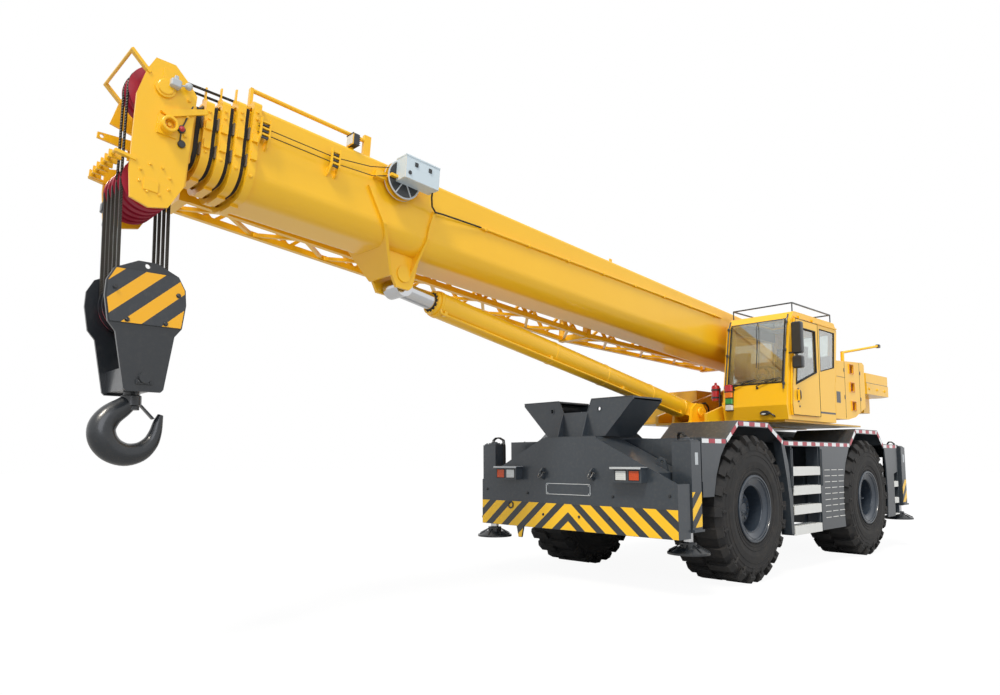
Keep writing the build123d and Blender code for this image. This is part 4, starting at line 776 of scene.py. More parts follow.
# %% Dress the wheels
# Columns: bolts in the circle, its radius, distance from the rim's middle, width across the head
wheel_bolts = [(20, 246, 45, 34), (12, 156, 163, 22), (6, 92, 174, 18)]


def sided(profile, side):
    """A profile that is drawn for the left side, turned to face the given side."""
    return [(radius, side * along) for radius, along in profile]


def rim_trim(hub, side):
    """The lock ring, two rolled edges, the planetary hub and the valve stem."""
    x, y, z = hub
    lock_ring = [(400, 349), (404, 358), (423, 358), (429, 350), (429, 338), (400, 338)]
    planetary_hub = [(196, 40), (196, 150), (188, 162), (120, 168), (70, 180), (66, 194), (0, 196)]
    valve = [(x + 352, y + side * 352, z), (x + 340, y + side * 372, z), (x + 318, y + side * 376, z)]
    return [
        hoop(sided(lock_ring, side), hub, steps=ring_steps),
        hoop(bead(378, side * 351, 10, side * 4), hub, steps=ring_steps),
        hoop(bead(300, side * 298, 14, side * 5), hub, steps=ring_steps),
        turned(sided(planetary_hub, side), hub, steps=40),
        tube(valve, 7, 8),
    ]


for name, end, side in corner_places:
    hub = (end * half_wheelbase, side * half_track, axle_height)
    piece(f"sidewall_rings_{name}", f"wheel_{name}", tyre_rubber, sidewalls(hub))
    piece(f"lock_ring_{name}", f"wheel_{name}", wheel_enamel, rim_trim(hub, side))
    nuts = []
    for count, radius, out, size in wheel_bolts:
        nuts += bolt_circle((hub[0], hub[1] + side * out, hub[2]), radius, count, "Y", size, side)
    piece(f"wheel_nuts_{name}", f"wheel_{name}", steel, nuts)
print("wheels dressed:", len(corner_places))

# %% [markdown]
# ## Chevrons on the front plate
# The wide plate across the front carries warning chevrons of retroreflective vinyl. They could be
# cut as many small plates, or drawn in an image. One thin sheet with computed stripes is simpler
# and always sharp: the stripe is worked out from the distance to the middle plus the height, and
# because the distance counts the same on both sides, the two halves meet in a point.

# %% Lay the chevrons
plate_face = 3746
vinyl = 3  # thickness of the sheet, drawn thicker than it is so that its edge shows
# Stripes: direction, period in metres, share that is painted, start, mirrored
chevrons = ((0, 1.0, 1.2), 0.31, 0.56, 0.484, True)
chevron_vinyl = enamel("chevron_vinyl", "#fbc70d", "#f3bd08", dust_amount=0.12, stripes=chevrons)
band = [(-1581, 673), (1581, 673), (1581, 1000), (-1581, 1000)]
tab = [(-905, 674), (-785, 674), (-818, 529), (-872, 529)]
sheets = [plate(outline, "X", plate_face, plate_face + vinyl, 1) for outline in (band, tab)]
piece("chevron_band", "carrier", chevron_vinyl, sheets)
print("chevron sheets:", len(sheets))

# %% [markdown]
# ## Front lamps
# Each lamp box has a clear and an amber lens, moulded in acrylic with small prisms on the inside
# that spread the light. Real prisms would need thousands of faces. Four raised lines stand for the
# coarse ones, and a fine wave pattern in colour and bump for the rest; its darker bands are painted
# shade. The acrylic is glossy, so a lens shows one small bright spot, which a painted plate doesn't.
# Folded aluminium visors keep rain off: bare sheet that has gone dull, so it is mixed like a paint
# without a clear coat.

# %% Lens and sheet materials
def prism_acrylic(name, colour, painted_prism_shade, roughness):
    """Moulded acrylic with painted shade in bands along its prisms."""
    material, tree, shader, place = start_material(name, Roughness=roughness)
    # The prisms are 6 mm apart. They are drawn at 10 mm so that they show.
    spacing = {"Vector": place.outputs["Object"], "Scale": bands(9.8175)}
    ribs = add(tree, "ShaderNodeTexWave", spacing, bands_direction="Y")
    # The darker colour of the bands is painted shade, not a colour of the acrylic.
    colours = {"Factor": ribs.outputs["Fac"], MIX_A: linear(colour), MIX_B: linear(painted_prism_shade)}
    tones = add(tree, "ShaderNodeMix", colours, data_type="RGBA")
    tree.links.new(tones.outputs[MIX_OUT], shader.inputs["Base Color"])
    bump = add(tree, "ShaderNodeBump", {"Height": ribs.outputs["Fac"], "Strength": 0.3, "Distance": 0.004})
    tree.links.new(bump.outputs[0], shader.inputs["Normal"])
    return material


clear_acrylic = prism_acrylic("prism_acrylic_clear", "#e9eceb", "#b9bdbc", 0.12)
amber_acrylic = prism_acrylic("prism_acrylic_amber", "#e2571a", "#a93a0c", 0.15)
aluminium = enamel("bare_aluminium_sheet", "#c3c8cb", "#aeb4b8", dust_amount=0.12, roughness=0.36, coat=0.0)
print("lens materials ready")

# %% Fit the front lamps
lens_face = plate_face + 108
lamp_foot, lamp_top = 1318, 1433
# Columns: colour, inner and outer edge from the crane's middle
lens_places = [("clear", 828, 982), ("amber", 1018, 1162)]
lenses = {"clear": [], "amber": []}
bezels, visors = [], []
for side in (-1, 1):
    for colour, inner, outer in lens_places:
        a, b = sorted((side * inner, side * outer))
        lenses[colour].append(slab(lens_face, lens_face + 14, a, b, lamp_foot, lamp_top, 8))
        for i in range(1, 5):
            z = lamp_foot + (lamp_top - lamp_foot) * i / 5
            lenses[colour].append(slab(lens_face + 12, lens_face + 16, a + 14, b - 14, z - 2, z + 2, 1))
        rim_line = [(a, lamp_foot), (b, lamp_foot), (b, lamp_top), (a, lamp_top)]
        bezels.append(gasket(rim_line, "X", lens_face + 12, 10))
    a, b = sorted((side * 768, side * 1202))
    visors.append(slab(plate_face + 10, plate_face + 153, a, b, 1469, 1474, 1.5))
    visors.append(slab(plate_face + 148, plate_face + 154, a, b, 1450, 1474, 1.5))
piece("headlamp_lenses", "carrier", clear_acrylic, lenses["clear"])
piece("indicator_lenses", "carrier", amber_acrylic, lenses["amber"])
piece("lamp_bezels", "carrier", tyre_rubber, bezels)
piece("lamp_visors", "carrier", aluminium, visors)
print("lamp lenses:", 2 * len(lens_places))

# %% [markdown]
# ## Shackles, studs and the blank plate
# A bow shackle on each side takes the tow rope. It is a bent bar with a pin through its eyes, so
# two pipes make it. The name plate in the middle is left blank: a thin plate with cut corners, a
# folded frame and four screws. On top stands the cradle in which the boom rests, with a bush round
# each pin hole and a weld bead along its brace.

# %% Fit what hangs on the front plate
shackle_x, shackle_z = plate_face + 42, 1395
shackles, studs = [], []
for side in (-1, 1):
    y = side * 410
    bow = [(shackle_x, y - 26, shackle_z)]
    for i in range(9):
        angle = math.pi * i / 8
        reach, drop = 34 * math.sin(angle), 46 * math.sin(angle)
        bow.append((plate_face + 60 + reach, y - 30 * math.cos(angle), shackle_z - 23 - drop))
    bow.append((shackle_x, y + 26, shackle_z))
    shackles.append(tube(bow, 8, 8))
    shackles.append(tube([(shackle_x, y - 42, shackle_z), (shackle_x, y + 40, shackle_z)], 10, 12))
    shackles += bolt((shackle_x, y + 38, shackle_z), "Y", 20)
stud_places = [(-700, 1118), (700, 1118), (-420, 850), (180, 850), (640, 850), (-1480, 1150), (1480, 1150)]
for y, z in stud_places:
    studs += bolt((plate_face + 3, y, z), "X", 24)
studs.append(hoop([(34, 2), (34, 12), (52, 12), (52, 2)], (plate_face + 2, -1010, 950), "X", 24))
piece("plate_shackles", "carrier", steel, shackles)
piece("plate_studs", "carrier", hook_enamel, studs)

right_half = [(352, 1118), (360, 1126), (360, 1246), (352, 1254)]
left_half = [(-352, 1254), (-360, 1246), (-360, 1126)]
blank_outline = [(-352, 1118)] + right_half + left_half
blank_face = plate_face + 4
blank_sheet = plate(blank_outline, "X", plate_face, blank_face, 1.5)
piece("blank_name_plate", "carrier", carrier_enamel, [blank_sheet])
plate_frame = [gasket(blank_outline, "X", blank_face, 9)]
plate_frame += flat(bolt((blank_face, side * 335, z), "X", 9) for side in (-1, 1) for z in (1135, 1237))
piece("name_plate_frame", "carrier", aluminium, plate_frame)

bush = [(25, 0), (25, 6), (38, 6), (38, 0)]
cradle = [hoop(bush, (3580, side * 390, 2200), "X", 24) for side in (-1, 1)]
for side in (-1, 1):
    cradle.append(tube([(3582, side * 900, 2330), (3582, side * 272, 2330), (3582, side * 202, 2172)], 5, 6))
piece("cradle_bushes", "carrier", carrier_enamel, cradle)
print("studs:", len(stud_places))

# %% [markdown]
# ## Outriggers
# At each corner a beam slides out and a jack stands on its end. The jack's housing has warning
# stripes low on its outer face, a bolted cap, two hoses that feed the jack, and a pressed float
# with ribs under its chromed rod. The cap, hoses and stripes ride on the beam, and only the float
# rides on the foot, because the rod comes out between them. Each part is a function of its corner,
# since the four differ only in where their beams lie.

# %% Parts of an outrigger
jack_stripes = ((1.0, 0, 1.0), 0.26, 0.52, 0.2, False)
jack_stripe_vinyl = enamel("jack_stripe_vinyl", "#fbc70d", "#f3bd08", dust_amount=0.1, stripes=jack_stripes)
beam_x = {"front_left": 3375, "front_right": 3610, "rear_left": -3710, "rear_right": -3947}
housing_top = 1786


def jack_cap(x, inner, outer, side):
    """The housing's lid with its four bolts, and the collar at its foot where the rod comes out."""
    middle = (inner + outer) / 2
    cap = [slab(x - 92, x + 92, inner + side * 14, outer - side * 14, 1769, housing_top, 4)]
    cap.append(turned([(46, 0), (46, 26), (40, 32), (0, 33)], (x, middle, 1785), "Z", 24))
    for dx in (-70, 70):
        for dy in (-80, 80):
            cap += bolt((x + dx, middle + dy, housing_top), "Z", 20)
    collar = [(58, 726), (58, 741), (84, 741), (90, 734), (90, 726)]
    cap.append(hoop(collar, (x, middle, 0), "Z", 32))
    return cap


def jack_hoses(x, inner, middle, side, end):
    """Two hoses that leave the cap in a loop and run down the housing's inner face."""
    loop = [
        (x + 28, middle, 1800),
        (x + 28, middle, 1838),
        (x + 22, middle - side * 40, 1868),
        (x, middle - side * 92, 1872),
        (x - 40, inner - side * 4, 1840),
        (x - 52, inner - side * 10, 1740),
        (x - 52, inner - side * 12, 1330),
    ]
    beside = [(px - 30 * end, py, pz) for px, py, pz in loop]
    return [tube(loop, 11, 8), tube(beside, 9, 8)]


def float_shoe(x, middle):
    """The dished float with its socket and eight ribs."""
    dish = [(0, 483.5), (240.3, 483.5), (240.3, 507), (236, 511), (156, 552), (152, 556)]
    socket = [(94, 558), (94, 612), (88, 618), (58, 618), (56, 624), (0, 624)]
    shoe = [turned(dish + socket, (x, middle, 0), "Z", 96)]
    base = Vector((x, middle, 0))
    for i in range(8):
        angle = math.tau * (i + 0.5) / 8
        out = Vector((math.cos(angle), math.sin(angle), 0))
        root, tip = base + out * 92 + Vector((0, 0, 590)), base + out * 225 + Vector((0, 0, 522))
        shoe.append(tube([root, tip], 8, 4))
    return shoe


print("outrigger parts ready")

# %% Dress the outriggers
housing_inner, housing_outer = 1350, 1600
for name, end, side in corner_places:
    x, inner, outer = beam_x[name], side * housing_inner, side * housing_outer
    middle = (inner + outer) / 2
    body = f"outrigger_{name}"
    stripes = slab(x - 99, x + 99, outer, outer + side * 3, 790, 1190, 1)
    label = slab(x - 42, x + 22, outer, outer + side * 2, 1500, 1640, 0.6)
    piece(f"jack_stripes_{name}", body, jack_stripe_vinyl, [stripes])
    piece(f"blank_label_{name}", body, aluminium, [label])
    piece(f"jack_cap_{name}", body, carrier_enamel, jack_cap(x, inner, outer, side))
    piece(f"jack_hose_{name}", body, tyre_rubber, jack_hoses(x, inner, middle, side, end))
    piece(f"float_{name}", f"foot_{name}", hook_enamel, float_shoe(x, middle))
print("outriggers dressed:", len(beam_x))

# %% [markdown]
# ## Tape along the decks
# A red and white reflecting tape follows each deck's edge, up and over the arches. It is bought in
# printed lengths and cut at every corner. Its real surface is tiny glass beads under a clear film.
# That looks like clean, slightly dusty paint by daylight, so the paint recipe serves for it. It is
# laid as short strips along the edge line, and the count of strips goes on round each corner, so
# the colours break where the real tape was cut.

# %% Lay the tape
tape_white = enamel("reflective_tape_white", "#eceff0", "#dcdfe0", dust_amount=0.15)
tape_red = enamel("reflective_tape_red", "#b3203a", "#9b1a30", dust_amount=0.15)
deck_top, arch_top = 1818, 2049
front_arch = [(3170, deck_top), (2610, deck_top), (2302, arch_top), (1470, arch_top), (1032, deck_top)]
rear_arch = [(-1320, deck_top), (-1590, arch_top), (-2580, arch_top), (-2850, deck_top), (-3510, deck_top)]
edge_line = front_arch + rear_arch
tape_length, tape_height, tape_inset = 150, 52, 12
corner_gap, shortest = 4, 20
tape = {"white": [], "red": []}
travelled = 0.0
for (x0, z0), (x1, z1) in zip(edge_line, edge_line[1:]):
    length = math.hypot(x1 - x0, z1 - z0)
    along = Vector(((x1 - x0) / length, (z1 - z0) / length))
    down = Vector((along.y, -along.x))
    down = down if down.y < 0 else -down
    low = Vector((x0, z0)) + down * (tape_inset + tape_height)
    high = Vector((x0, z0)) + down * tape_inset
    start = float(corner_gap)
    while start < length - shortest:
        colour = "white" if int(travelled / tape_length) % 2 == 0 else "red"
        stop = min(start + tape_length, length - corner_gap)
        ends = (low + along * start, low + along * stop, high + along * stop, high + along * start)
        strip = [tuple(point) for point in ends]
        for side in (-1, 1):
            tape[colour].append(plate(strip, "Y", side * 1560, side * 1562.5, 0.8))
        travelled += tape_length
        start = stop
piece("deck_tape_white", "carrier", tape_white, tape["white"])
piece("deck_tape_red", "carrier", tape_red, tape["red"])
print("strips of tape:", len(tape["white"]) + len(tape["red"]))

# %% [markdown]
# ## Ladders
# A tread is a pressed steel plate with raised dimples, so that boots don't slip. The front edge is
# folded down, which makes the broad white bars in the photograph. The dimples could be a bump
# pattern. They are small turned domes instead, because a tread is seen almost edge on, and there a
# bump has no height. The rear ladder is the same with other numbers.

# %% Lay the treads
deck_side = 1560
# Columns: rear and front end, heights of the treads, depth, fall of the folded edge
ladders = [
    (-142, 762, (1450, 1180, 910, 630), 178, 121),
    (-3508, -3302, (1165, 880, 600), 150, 95),
]
ladder_foot = 582  # the rear ladder's lowest edge is cut off here
dimple = [(13, 0), (11, 3), (5, 4), (0, 3)]
dimple_spacing, dimple_rows = 75, 3
treads, cheeks = [], []
for side in (-1, 1):
    for x0, x1, levels, depth, drop in ladders:
        for z in levels:
            fall = min(drop, z - ladder_foot) if x0 < -3000 else drop
            treads.append(slab(x0, x1, side * deck_side, side * (deck_side + 4), z - fall, z + 3, 1.5))
            back, front = side * (deck_side + 2 - depth), side * (deck_side + 2)
            treads.append(slab(x0, x1, back, front, z, z + 3.5, 1.5))
            across = max(2, int((x1 - x0) / dimple_spacing))
            for i in range(across):
                for j in range(dimple_rows):
                    y = side * (deck_side - 5 - (j + 0.5) * depth / dimple_rows)
                    treads.append(turned(dimple, (x0 + (i + 0.5) * (x1 - x0) / across, y, z + 3), "Z", 10))
    for x in (-150, 750):
        cheeks.append(slab(x - 2, x + 22, side * 1366, side * 1541.5, 508, 1795, 2))
piece("ladder_treads", "carrier", step_enamel, treads)
piece("ladder_cheeks", "carrier", carrier_enamel, cheeks)
print("treads:", 2 * sum(len(levels) for _, _, levels, _, _ in ladders))

# %% [markdown]
# ## Louvres and rails
# The panel beside the ladder has rows of pressed louvres that let the engine's heat out. Holes
# would need cuts in the CAD solid, which stays as it is. A louvre's edge catches the light, so each
# louvre is drawn as a thin raised strip in the treads' white: a painted highlight for that lit edge,
# which reads as the same louvre from a few metres away. Two grab rails frame the ladder, and bolts
# hold the deck plates.

# %% Fit the louvres and rails
louvres, rails = [], []
for side in (-1, 1):
    for row in range(9):
        for column in range(3):
            x, z = -300 - 262 * column, 1395 - 88 * row
            # Each white strip is a painted highlight: the lit edge of a louvre.
            lit_edge_strip = [(x, z), (x - 190, z), (x - 186, z + 9), (x - 4, z + 9)]
            louvres.append(plate(lit_edge_strip, "Y", side * 1559, side * 1566, 2))
    for x in (-195, 805):
        grab = [(x, side * y, z) for y, z in ((1530, 1700), (1572, 1700), (1572, 1180), (1530, 1180))]
        rails.append(tube(grab, 9, 8))
    for x in (3060, 2720, 880, 300, -500, -1100, -3000, -3400):
        rails += bolt((x, side * 1400, deck_top), "Z", 18)
piece("louvre_painted_highlights", "carrier", step_enamel, louvres)
piece("deck_rails", "carrier", carrier_enamel, rails)
print("louvres:", len(louvres))

# %% [markdown]
# ## Engine hood and drive shafts
# The hood gets its latches, grab handles and hinge bolts, in the black that wears off first on a
# working machine. Under the frame, each drive shaft ends in a universal joint. Its cross is two
# pipes at right angles behind a turned flange. Little of it is seen, but from low down the gap
# between the axles would look empty without it.

# %% Dress the hood and the drive shafts
hood_side = 452
hood, shaft = [], []
for side in (-1, 1):
    for x in (-1360, -2360, -3360):
        hood.append(slab(x - 60, x + 60, side * hood_side, side * 470, 1712, 1732, 4))
        hood += flat(bolt((x + dx, side * 451, 1985), "Y", 16, side) for dx in (-40, 40))
    for x in (-1200, -3900):
        grip = [(hood_side, 1800), (500, 1800), (500, 1640), (hood_side, 1640)]
        hood.append(tube([(x, side * y, z) for y, z in grip], 9, 8))
piece("hood_handles", "carrier", hook_enamel, hood)

flange = [(105, 0), (105, 22), (70, 30), (60, 90), (48, 100)]
for x in (-350, 250):
    away = 1 if x > 0 else -1
    cross_x = x + away * 110
    shaft.append(turned(sided(flange, away), (x, 0, axle_height), "X", 28))
    shaft.append(tube([(cross_x, -78, axle_height), (cross_x, 78, axle_height)], 24, 12))
    shaft.append(tube([(cross_x, 0, axle_height - 78), (cross_x, 0, axle_height + 78)], 24, 12))
    shaft += bolt_circle((x + away * 22, 0, axle_height), 82, 8, "X", 20, away)
piece("shaft_joints", "carrier", steel, shaft)
print("hood dressed")

# %% [markdown]
# ## Pins of the turntable
# The boom and the cylinder hang on large pins. Each pin is kept in by a round cap with a circle of
# bolts, and a row of bolts along the side plates holds the deck behind them. The caps are turned
# parts with a shallow dish, because a flat disc has no edge for the light to run along.

# %% Fit the pin caps
boom_pin_cap = [(118, -2), (118, 12), (108, 18), (50, 19), (46, 12), (0, 12)]
barrel_pin_cap = [(74, 0), (74, 10), (66, 16), (0, 17)]
boom_pin_x, boom_pin_z = -2250, 3320
barrel_pin_x, barrel_pin_z = 790, 2290
side_bolts = [(300, 2300), (-560, 2420), (-1200, 2520), (-1850, 2680), (-2250, 3060)]
caps = []
for side in (-1, 1):
    y = side * 491
    caps.append(turned(sided(boom_pin_cap, side), (boom_pin_x, y, boom_pin_z), "Y", 40))
    caps += bolt_circle((boom_pin_x, y + side * 16, boom_pin_z), 94, 10, "Y", 20, side)
    caps.append(turned(sided(barrel_pin_cap, side), (barrel_pin_x, side * 180, barrel_pin_z), "Y", 32))
    caps += bolt_circle((barrel_pin_x, side * 195, barrel_pin_z), 48, 6, "Y", 16, side)
    for x, z in side_bolts:
        caps += bolt((x, side * 450, z), "Y", 26, side)
piece("pin_caps", "superstructure", crane_enamel, caps)
print("pin caps:", 4)

# %% [markdown]
# ## Hoses and the red accumulator
# Four pressure hoses come up through the deck at the cylinder's foot, where the cylinder only turns
# a little. They are made as bent pipes in rubber. A red accumulator bottle stands beside them, held
# by a clip with two straps. Its paint is a signal red with the same gloss as the yellow.

# %% Fit the hoses and the accumulator
hoses = []
for y in (-52, 52):
    short_loop = [(300, y, 2127), (300, y, 2300), (345, y * 1.1, 2400)]
    short_loop += [(440, y * 1.3, 2450), (560, y * 1.6, 2440)]
    hoses.append(tube(short_loop, 15, 10))
for y in (-260, 260):
    long_loop = [(120, y, 2440), (20, y, 2470), (-80, y * 0.9, 2400)]
    long_loop += [(-150, y * 0.8, 2250), (-170, y * 0.8, 2127)]
    hoses.append(tube(long_loop, 13, 10))
piece("cylinder_hoses", "superstructure", tyre_rubber, hoses)

red_enamel = enamel("signal_red_enamel", "#b3121c", "#9c0f17")
bottle = [(30, 0), (62, 10), (64, 40), (64, 215), (52, 240), (20, 252), (18, 285), (0, 288)]
piece("red_accumulator", "superstructure", red_enamel, [turned(bottle, (560, 320, 2460), "Z", 28)])
clip = [slab(530, 590, 378, 402, 2360, 2560, 4)]
clip += [hoop([(63, z), (63, z + 24), (70, z + 24), (70, z)], (560, 320, 0), "Z", 28) for z in (2500, 2620)]
clip.append(slab(545, 575, 378, 396, 2480, 2660, 3))
piece("accumulator_clip", "superstructure", hook_enamel, clip)
print("hoses:", len(hoses))

# %% [markdown]
# ## The luffing cylinder
# Rolled bands stiffen the long barrel, and a bolted gland closes it where the rod comes out. A
# rubber wiper there keeps dirt off the chrome. All of it is drawn on the cylinder's own table and
# rides on the barrel. The rod itself has nothing on it, or it couldn't slide in.

# %% Dress the cylinder
rod_eye = on_boom @ (Vector((8650, 0, -684)) * MM)
cylinder_length = (rod_eye - Vector(barrel_pin)).length / MM
barrel_end = cylinder_length - 500
gland_face = barrel_end + 45
bands_at = (320, 1180, 2240, 3300, barrel_end - 60)
rolled_bands = []
for x in bands_at:
    band_section = [(143, x), (143, x + 4), (150, x + 6), (150, x + 30), (143, x + 34)]
    rolled_bands.append(hoop(band_section, (0, 0, 0), "X"))
rolled_bands += bolt_circle((gland_face, 0, 0), 112, 14, "X", 16)
feed = [(barrel_end - 55, 122, -126), (barrel_end - 20, 122, -118), (barrel_end - 10, 118, -80)]
rolled_bands.append(tube(feed, 13, 10))
piece("barrel_bands", "luff_barrel", crane_enamel, rolled_bands, on_cylinder)
lip_start, lip_end = barrel_end + 46, barrel_end + 58
wiper_lip = [(90.6, lip_start), (90.6, lip_end), (100, lip_end), (112, lip_start)]
piece("rod_wiper", "luff_barrel", tyre_rubber, [hoop(wiper_lip, (0, 0, 0), "X")], on_cylinder)
print("cylinder length", round(cylinder_length), "mm")

# %% [markdown]
# ## Window gaskets
# Rubber gaskets hold the panes and draw the dark line round every window that one sees first on a
# cab. The side and roof windows are flat, so an outline and a level are enough. The windscreen
# leans back and has a knee near the roof. One function gives points on that folded surface, so that
# rods and wipers can be laid on it later with the same numbers.

# %% Fit the gaskets
knee = 3560


def on_screen(y, z, lift=0):
    """A point on the windscreen, lifted off it."""
    if z <= knee:
        return (705 - 165 * (z - 2640) / 920 + lift, y, z)
    return (540 - 140 * (z - knee) / 160 + lift, y, z + lift)


screen_line = [(601, 2661), (1429, 2661), (1429, knee), (1429, 3598), (601, 3598), (601, knee)]
seals = [tube([on_screen(y, z, 1) for y, z in screen_line], 11, 6, closed=True)]
seals.append(gasket([(-470, 2900), (-1000, 3000), (-1060, 3560), (-480, 3560)], "Y", 1494, 17))
seals.append(gasket([(480, 2700), (345, 3500), (-1000, 3500), (-960, 2900)], "Y", 531, 24))
roof_hatch = [(-700, 680, 3721), (150, 680, 3721), (150, 1350, 3721), (-700, 1350, 3721)]
rear_window = [(-1088, 650, 3200), (-1088, 1380, 3200), (-1139, 1380, 3560), (-1139, 650, 3560)]
seals += [tube(line, 11, 6, closed=True) for line in (roof_hatch, rear_window)]
piece("window_gaskets", "superstructure", tyre_rubber, seals)
print("gaskets:", len(seals))

# %% [markdown]
# ## Windscreen rods and wipers
# The windscreen swings out on two black rods with hinges, and three wipers rest on it: two at its
# foot and one that hangs from the roof. All are bent pipes laid a few centimetres off the glass.
# Thin lines like these carry much of the likeness, because they stand dark before the pale pane.

# %% Fit the rods and wipers
trim = []
for y in (572, 1460):
    trim.append(tube([on_screen(y, z, 26) for z in (2560, 2640, knee, 3640)], 11, 10))
    for z in (2640, 3130, 3540):
        trim.append(tube([on_screen(y, z, -2), on_screen(y, z, 26)], 12, 8))
        trim.append(turned([(14, -22), (21, -14), (21, 14), (14, 22)], on_screen(y, z, 26), "Z", 16))
for pivot, tip in ((700, 980), (1060, 1340)):
    trim.append(tube([on_screen(pivot, 2600, 4), on_screen(pivot, 2625, 34), on_screen(tip, 2720, 26)], 7, 8))
    trim.append(tube([on_screen(tip - 210, 2702, 18), on_screen(tip + 60, 2726, 18)], 6, 6))
    trim += bolt(on_screen(pivot, 2600, 2), "X", 26)
trim.append(tube([on_screen(1015, 3585, 10), on_screen(1015, 3500, 26), on_screen(1040, 3160, 24)], 6, 8))
trim.append(tube([on_screen(1040, 2900, 18), on_screen(1040, 3330, 18)], 6, 6))
trim.append(slab(-988, -390, 1499, 1501.5, 2256, 2284, 0.5))
piece("windscreen_rods", "superstructure", hook_enamel, trim)
print("rods and wipers:", len(trim))

# %% [markdown]
# ## The door
# The door hangs on a rail and slides back. Its pane has a wide gasket, and a thin rubber edge runs
# round the leaf. The latch sits in an oval plate with a bent grip and a lock under it. All of this
# rides on the door's own body, so it goes along when the door opens.

# %% Dress the door
door_pane = [(490, 2640), (345, 3480), (-220, 3480), (-220, 2860)]
door_leaf = [(606, 2196), (630, 2340), (605, 2640), (437, 3605), (-325, 3605), (-325, 2196)]
seals = [gasket(door_pane, "Y", 1535, 26), gasket(door_leaf, "Y", 1536, 9)]
piece("door_gaskets", "door", tyre_rubber, seals)
latch = [plate(oval((434, 2482), 52, 104, 20), "Y", 1535, 1541, 2)]
latch.append(tube([(455, 1570, 2412), (455, 1580, 2440), (455, 1580, 2520), (455, 1570, 2548)], 11, 8))
latch.append(turned([(15, 0), (15, 5), (11, 8), (0, 8)], (400, 1536, 2320), "Y", 20))
piece("door_latch", "door", hook_enamel, latch)
print("door dressed")

# %% [markdown]
# ## Lamps of the cab
# A stack of coloured lamps at the cab's corner tells people outside how near the load is to the
# limit. The domes are moulded acrylic, dyed through. Unlit in daylight they look like glossy solid
# blocks, so they need no glass shader, only the paint recipe at a low roughness. The lamp below is
# a dark oval housing with a clear lens and a bracket.

# %% Fit the cab's lamps
red_acrylic = enamel("moulded_acrylic_red", "#c4141d", "#a30f17", roughness=0.15)
orange_acrylic = enamel("moulded_acrylic_orange", "#ee7a12", "#d2650b", roughness=0.15)
green_acrylic = enamel("moulded_acrylic_green", "#1f9a4c", "#178040", roughness=0.15)
# Columns: colour, material, foot and top of the block
state_lamps = [
    ("red", red_acrylic, 2566, 2672),
    ("orange", orange_acrylic, 2472, 2560),
    ("green", green_acrylic, 2378, 2466),
    ("white", clear_acrylic, 2284, 2372),
]
for colour, material, z0, z1 in state_lamps:
    piece(f"state_lamp_{colour}", "superstructure", material, [slab(752, 807, 595, 705, z0, z1, 10)])
housing = plate(oval((1177, 2227), 78, 36, 24), "X", 715, 752, 14)
bracket = tube([(712, 1245, 2222), (738, 1262, 2212), (728, 1300, 2190), (706, 1310, 2170)], 11, 8)
piece("front_work_lamp", "superstructure", hook_enamel, [housing, bracket])
lens = plate(oval((1160, 2214), 34, 11, 24), "X", 748, 756, 3)
piece("front_lamp_lens", "superstructure", clear_acrylic, [lens])
print("state lamps:", len(state_lamps))

# %% [markdown]
# ## Lining and mirrors
# Through the glass one sees dark plastic on the walls and floor and a pale cloth under the roof.
# Without them the inside would be as yellow as the outside. They are thin slabs just inside the
# cab's walls, so that they don't show from outside. The mirrors are silvered glass: a metal with
# almost no roughness, and a film of dust that keeps the reflection from being perfect.

# %% Line the cab and fit the mirrors
lining = [
    slab(-1000, 350, 571, 577, 3505, 3676, 2),
    slab(-952, -944, 572, 1458, 2168, 3190, 2),
    slab(-940, 560, 571, 576, 2168, 2690, 2),
    slab(-940, 640, 576, 1456, 2166.5, 2172, 2),
]
piece("cab_lining", "superstructure", console_plastic, lining)
headliner = enamel("light_headliner_cloth", "#d9dad8", "#cbccca", dust_amount=0.05, roughness=0.9, coat=0.0)
liner = [slab(x0, x1, 576, 1456, 3668, 3678, 3) for x0, x1 in ((160, 380), (-1040, -710))]
liner += [slab(-700, 150, y - 40, y + 40, 3668, 3678, 3) for y in (620, 1410)]
piece("cab_headliner", "superstructure", headliner, liner)

mirror_glass, tree, shader, place = start_material("silvered_mirror_glass", Metallic=1.0, Roughness=0.03)
# Water spots on a mirror are about 83 mm across in their groups.
spots = {"Vector": place.outputs["Object"], "Scale": per_metre(83.333), "Detail": 5.0}
film = add(tree, "ShaderNodeTexNoise", spots)
gloss = add(tree, "ShaderNodeMapRange", {"Value": film.outputs["Fac"], "To Min": 0.01, "To Max": 0.09})
tree.links.new(gloss.outputs[0], shader.inputs["Roughness"])
mirrors = [slab(562, 566, 1562, 1682, z0, z1, 1.5) for z0, z1 in ((3084, 3496), (2868, 3012))]
piece("mirror_glass", "superstructure", mirror_glass, mirrors)
print("mirrors:", len(mirrors))

# %% [markdown]
# ## Side cover
# The cover behind the cab has three vents with orange grilles, each a frame with slanting slats,
# and the gaps of its doors. A gap should be a groove, but the CAD solid has none there. A thin dark
# line that stands a few millimetres proud is painted shade: it stands for the shadow in the groove,
# and gives the same line at any distance from which the whole crane is seen. The plate in the middle
# is left blank.

# %% Fit the grilles, the painted gap shade and the hinges
vents = [(-1690, 3040), (-1710, 2740), (-1750, 2430)]
grilles = []
for x, z in vents:
    grilles.append(slab(x - 71, x + 71, 1440, 1462, z - 65, z + 65, 2))
    for i in range(6):
        level = z - 56 + i * 21
        slat = [(1460, level), (1496, level - 9), (1497, level - 5), (1461, level + 5)]
        grilles.append(plate(slat, "X", x - 71, x + 71, 1))
    rim_line = [(x - 80, z - 74), (x + 80, z - 74), (x + 80, z + 74), (x - 80, z + 74)]
    grilles.append(gasket(rim_line, "Y", 1512, 10))
piece("vent_grilles", "superstructure", vent_enamel, grilles)
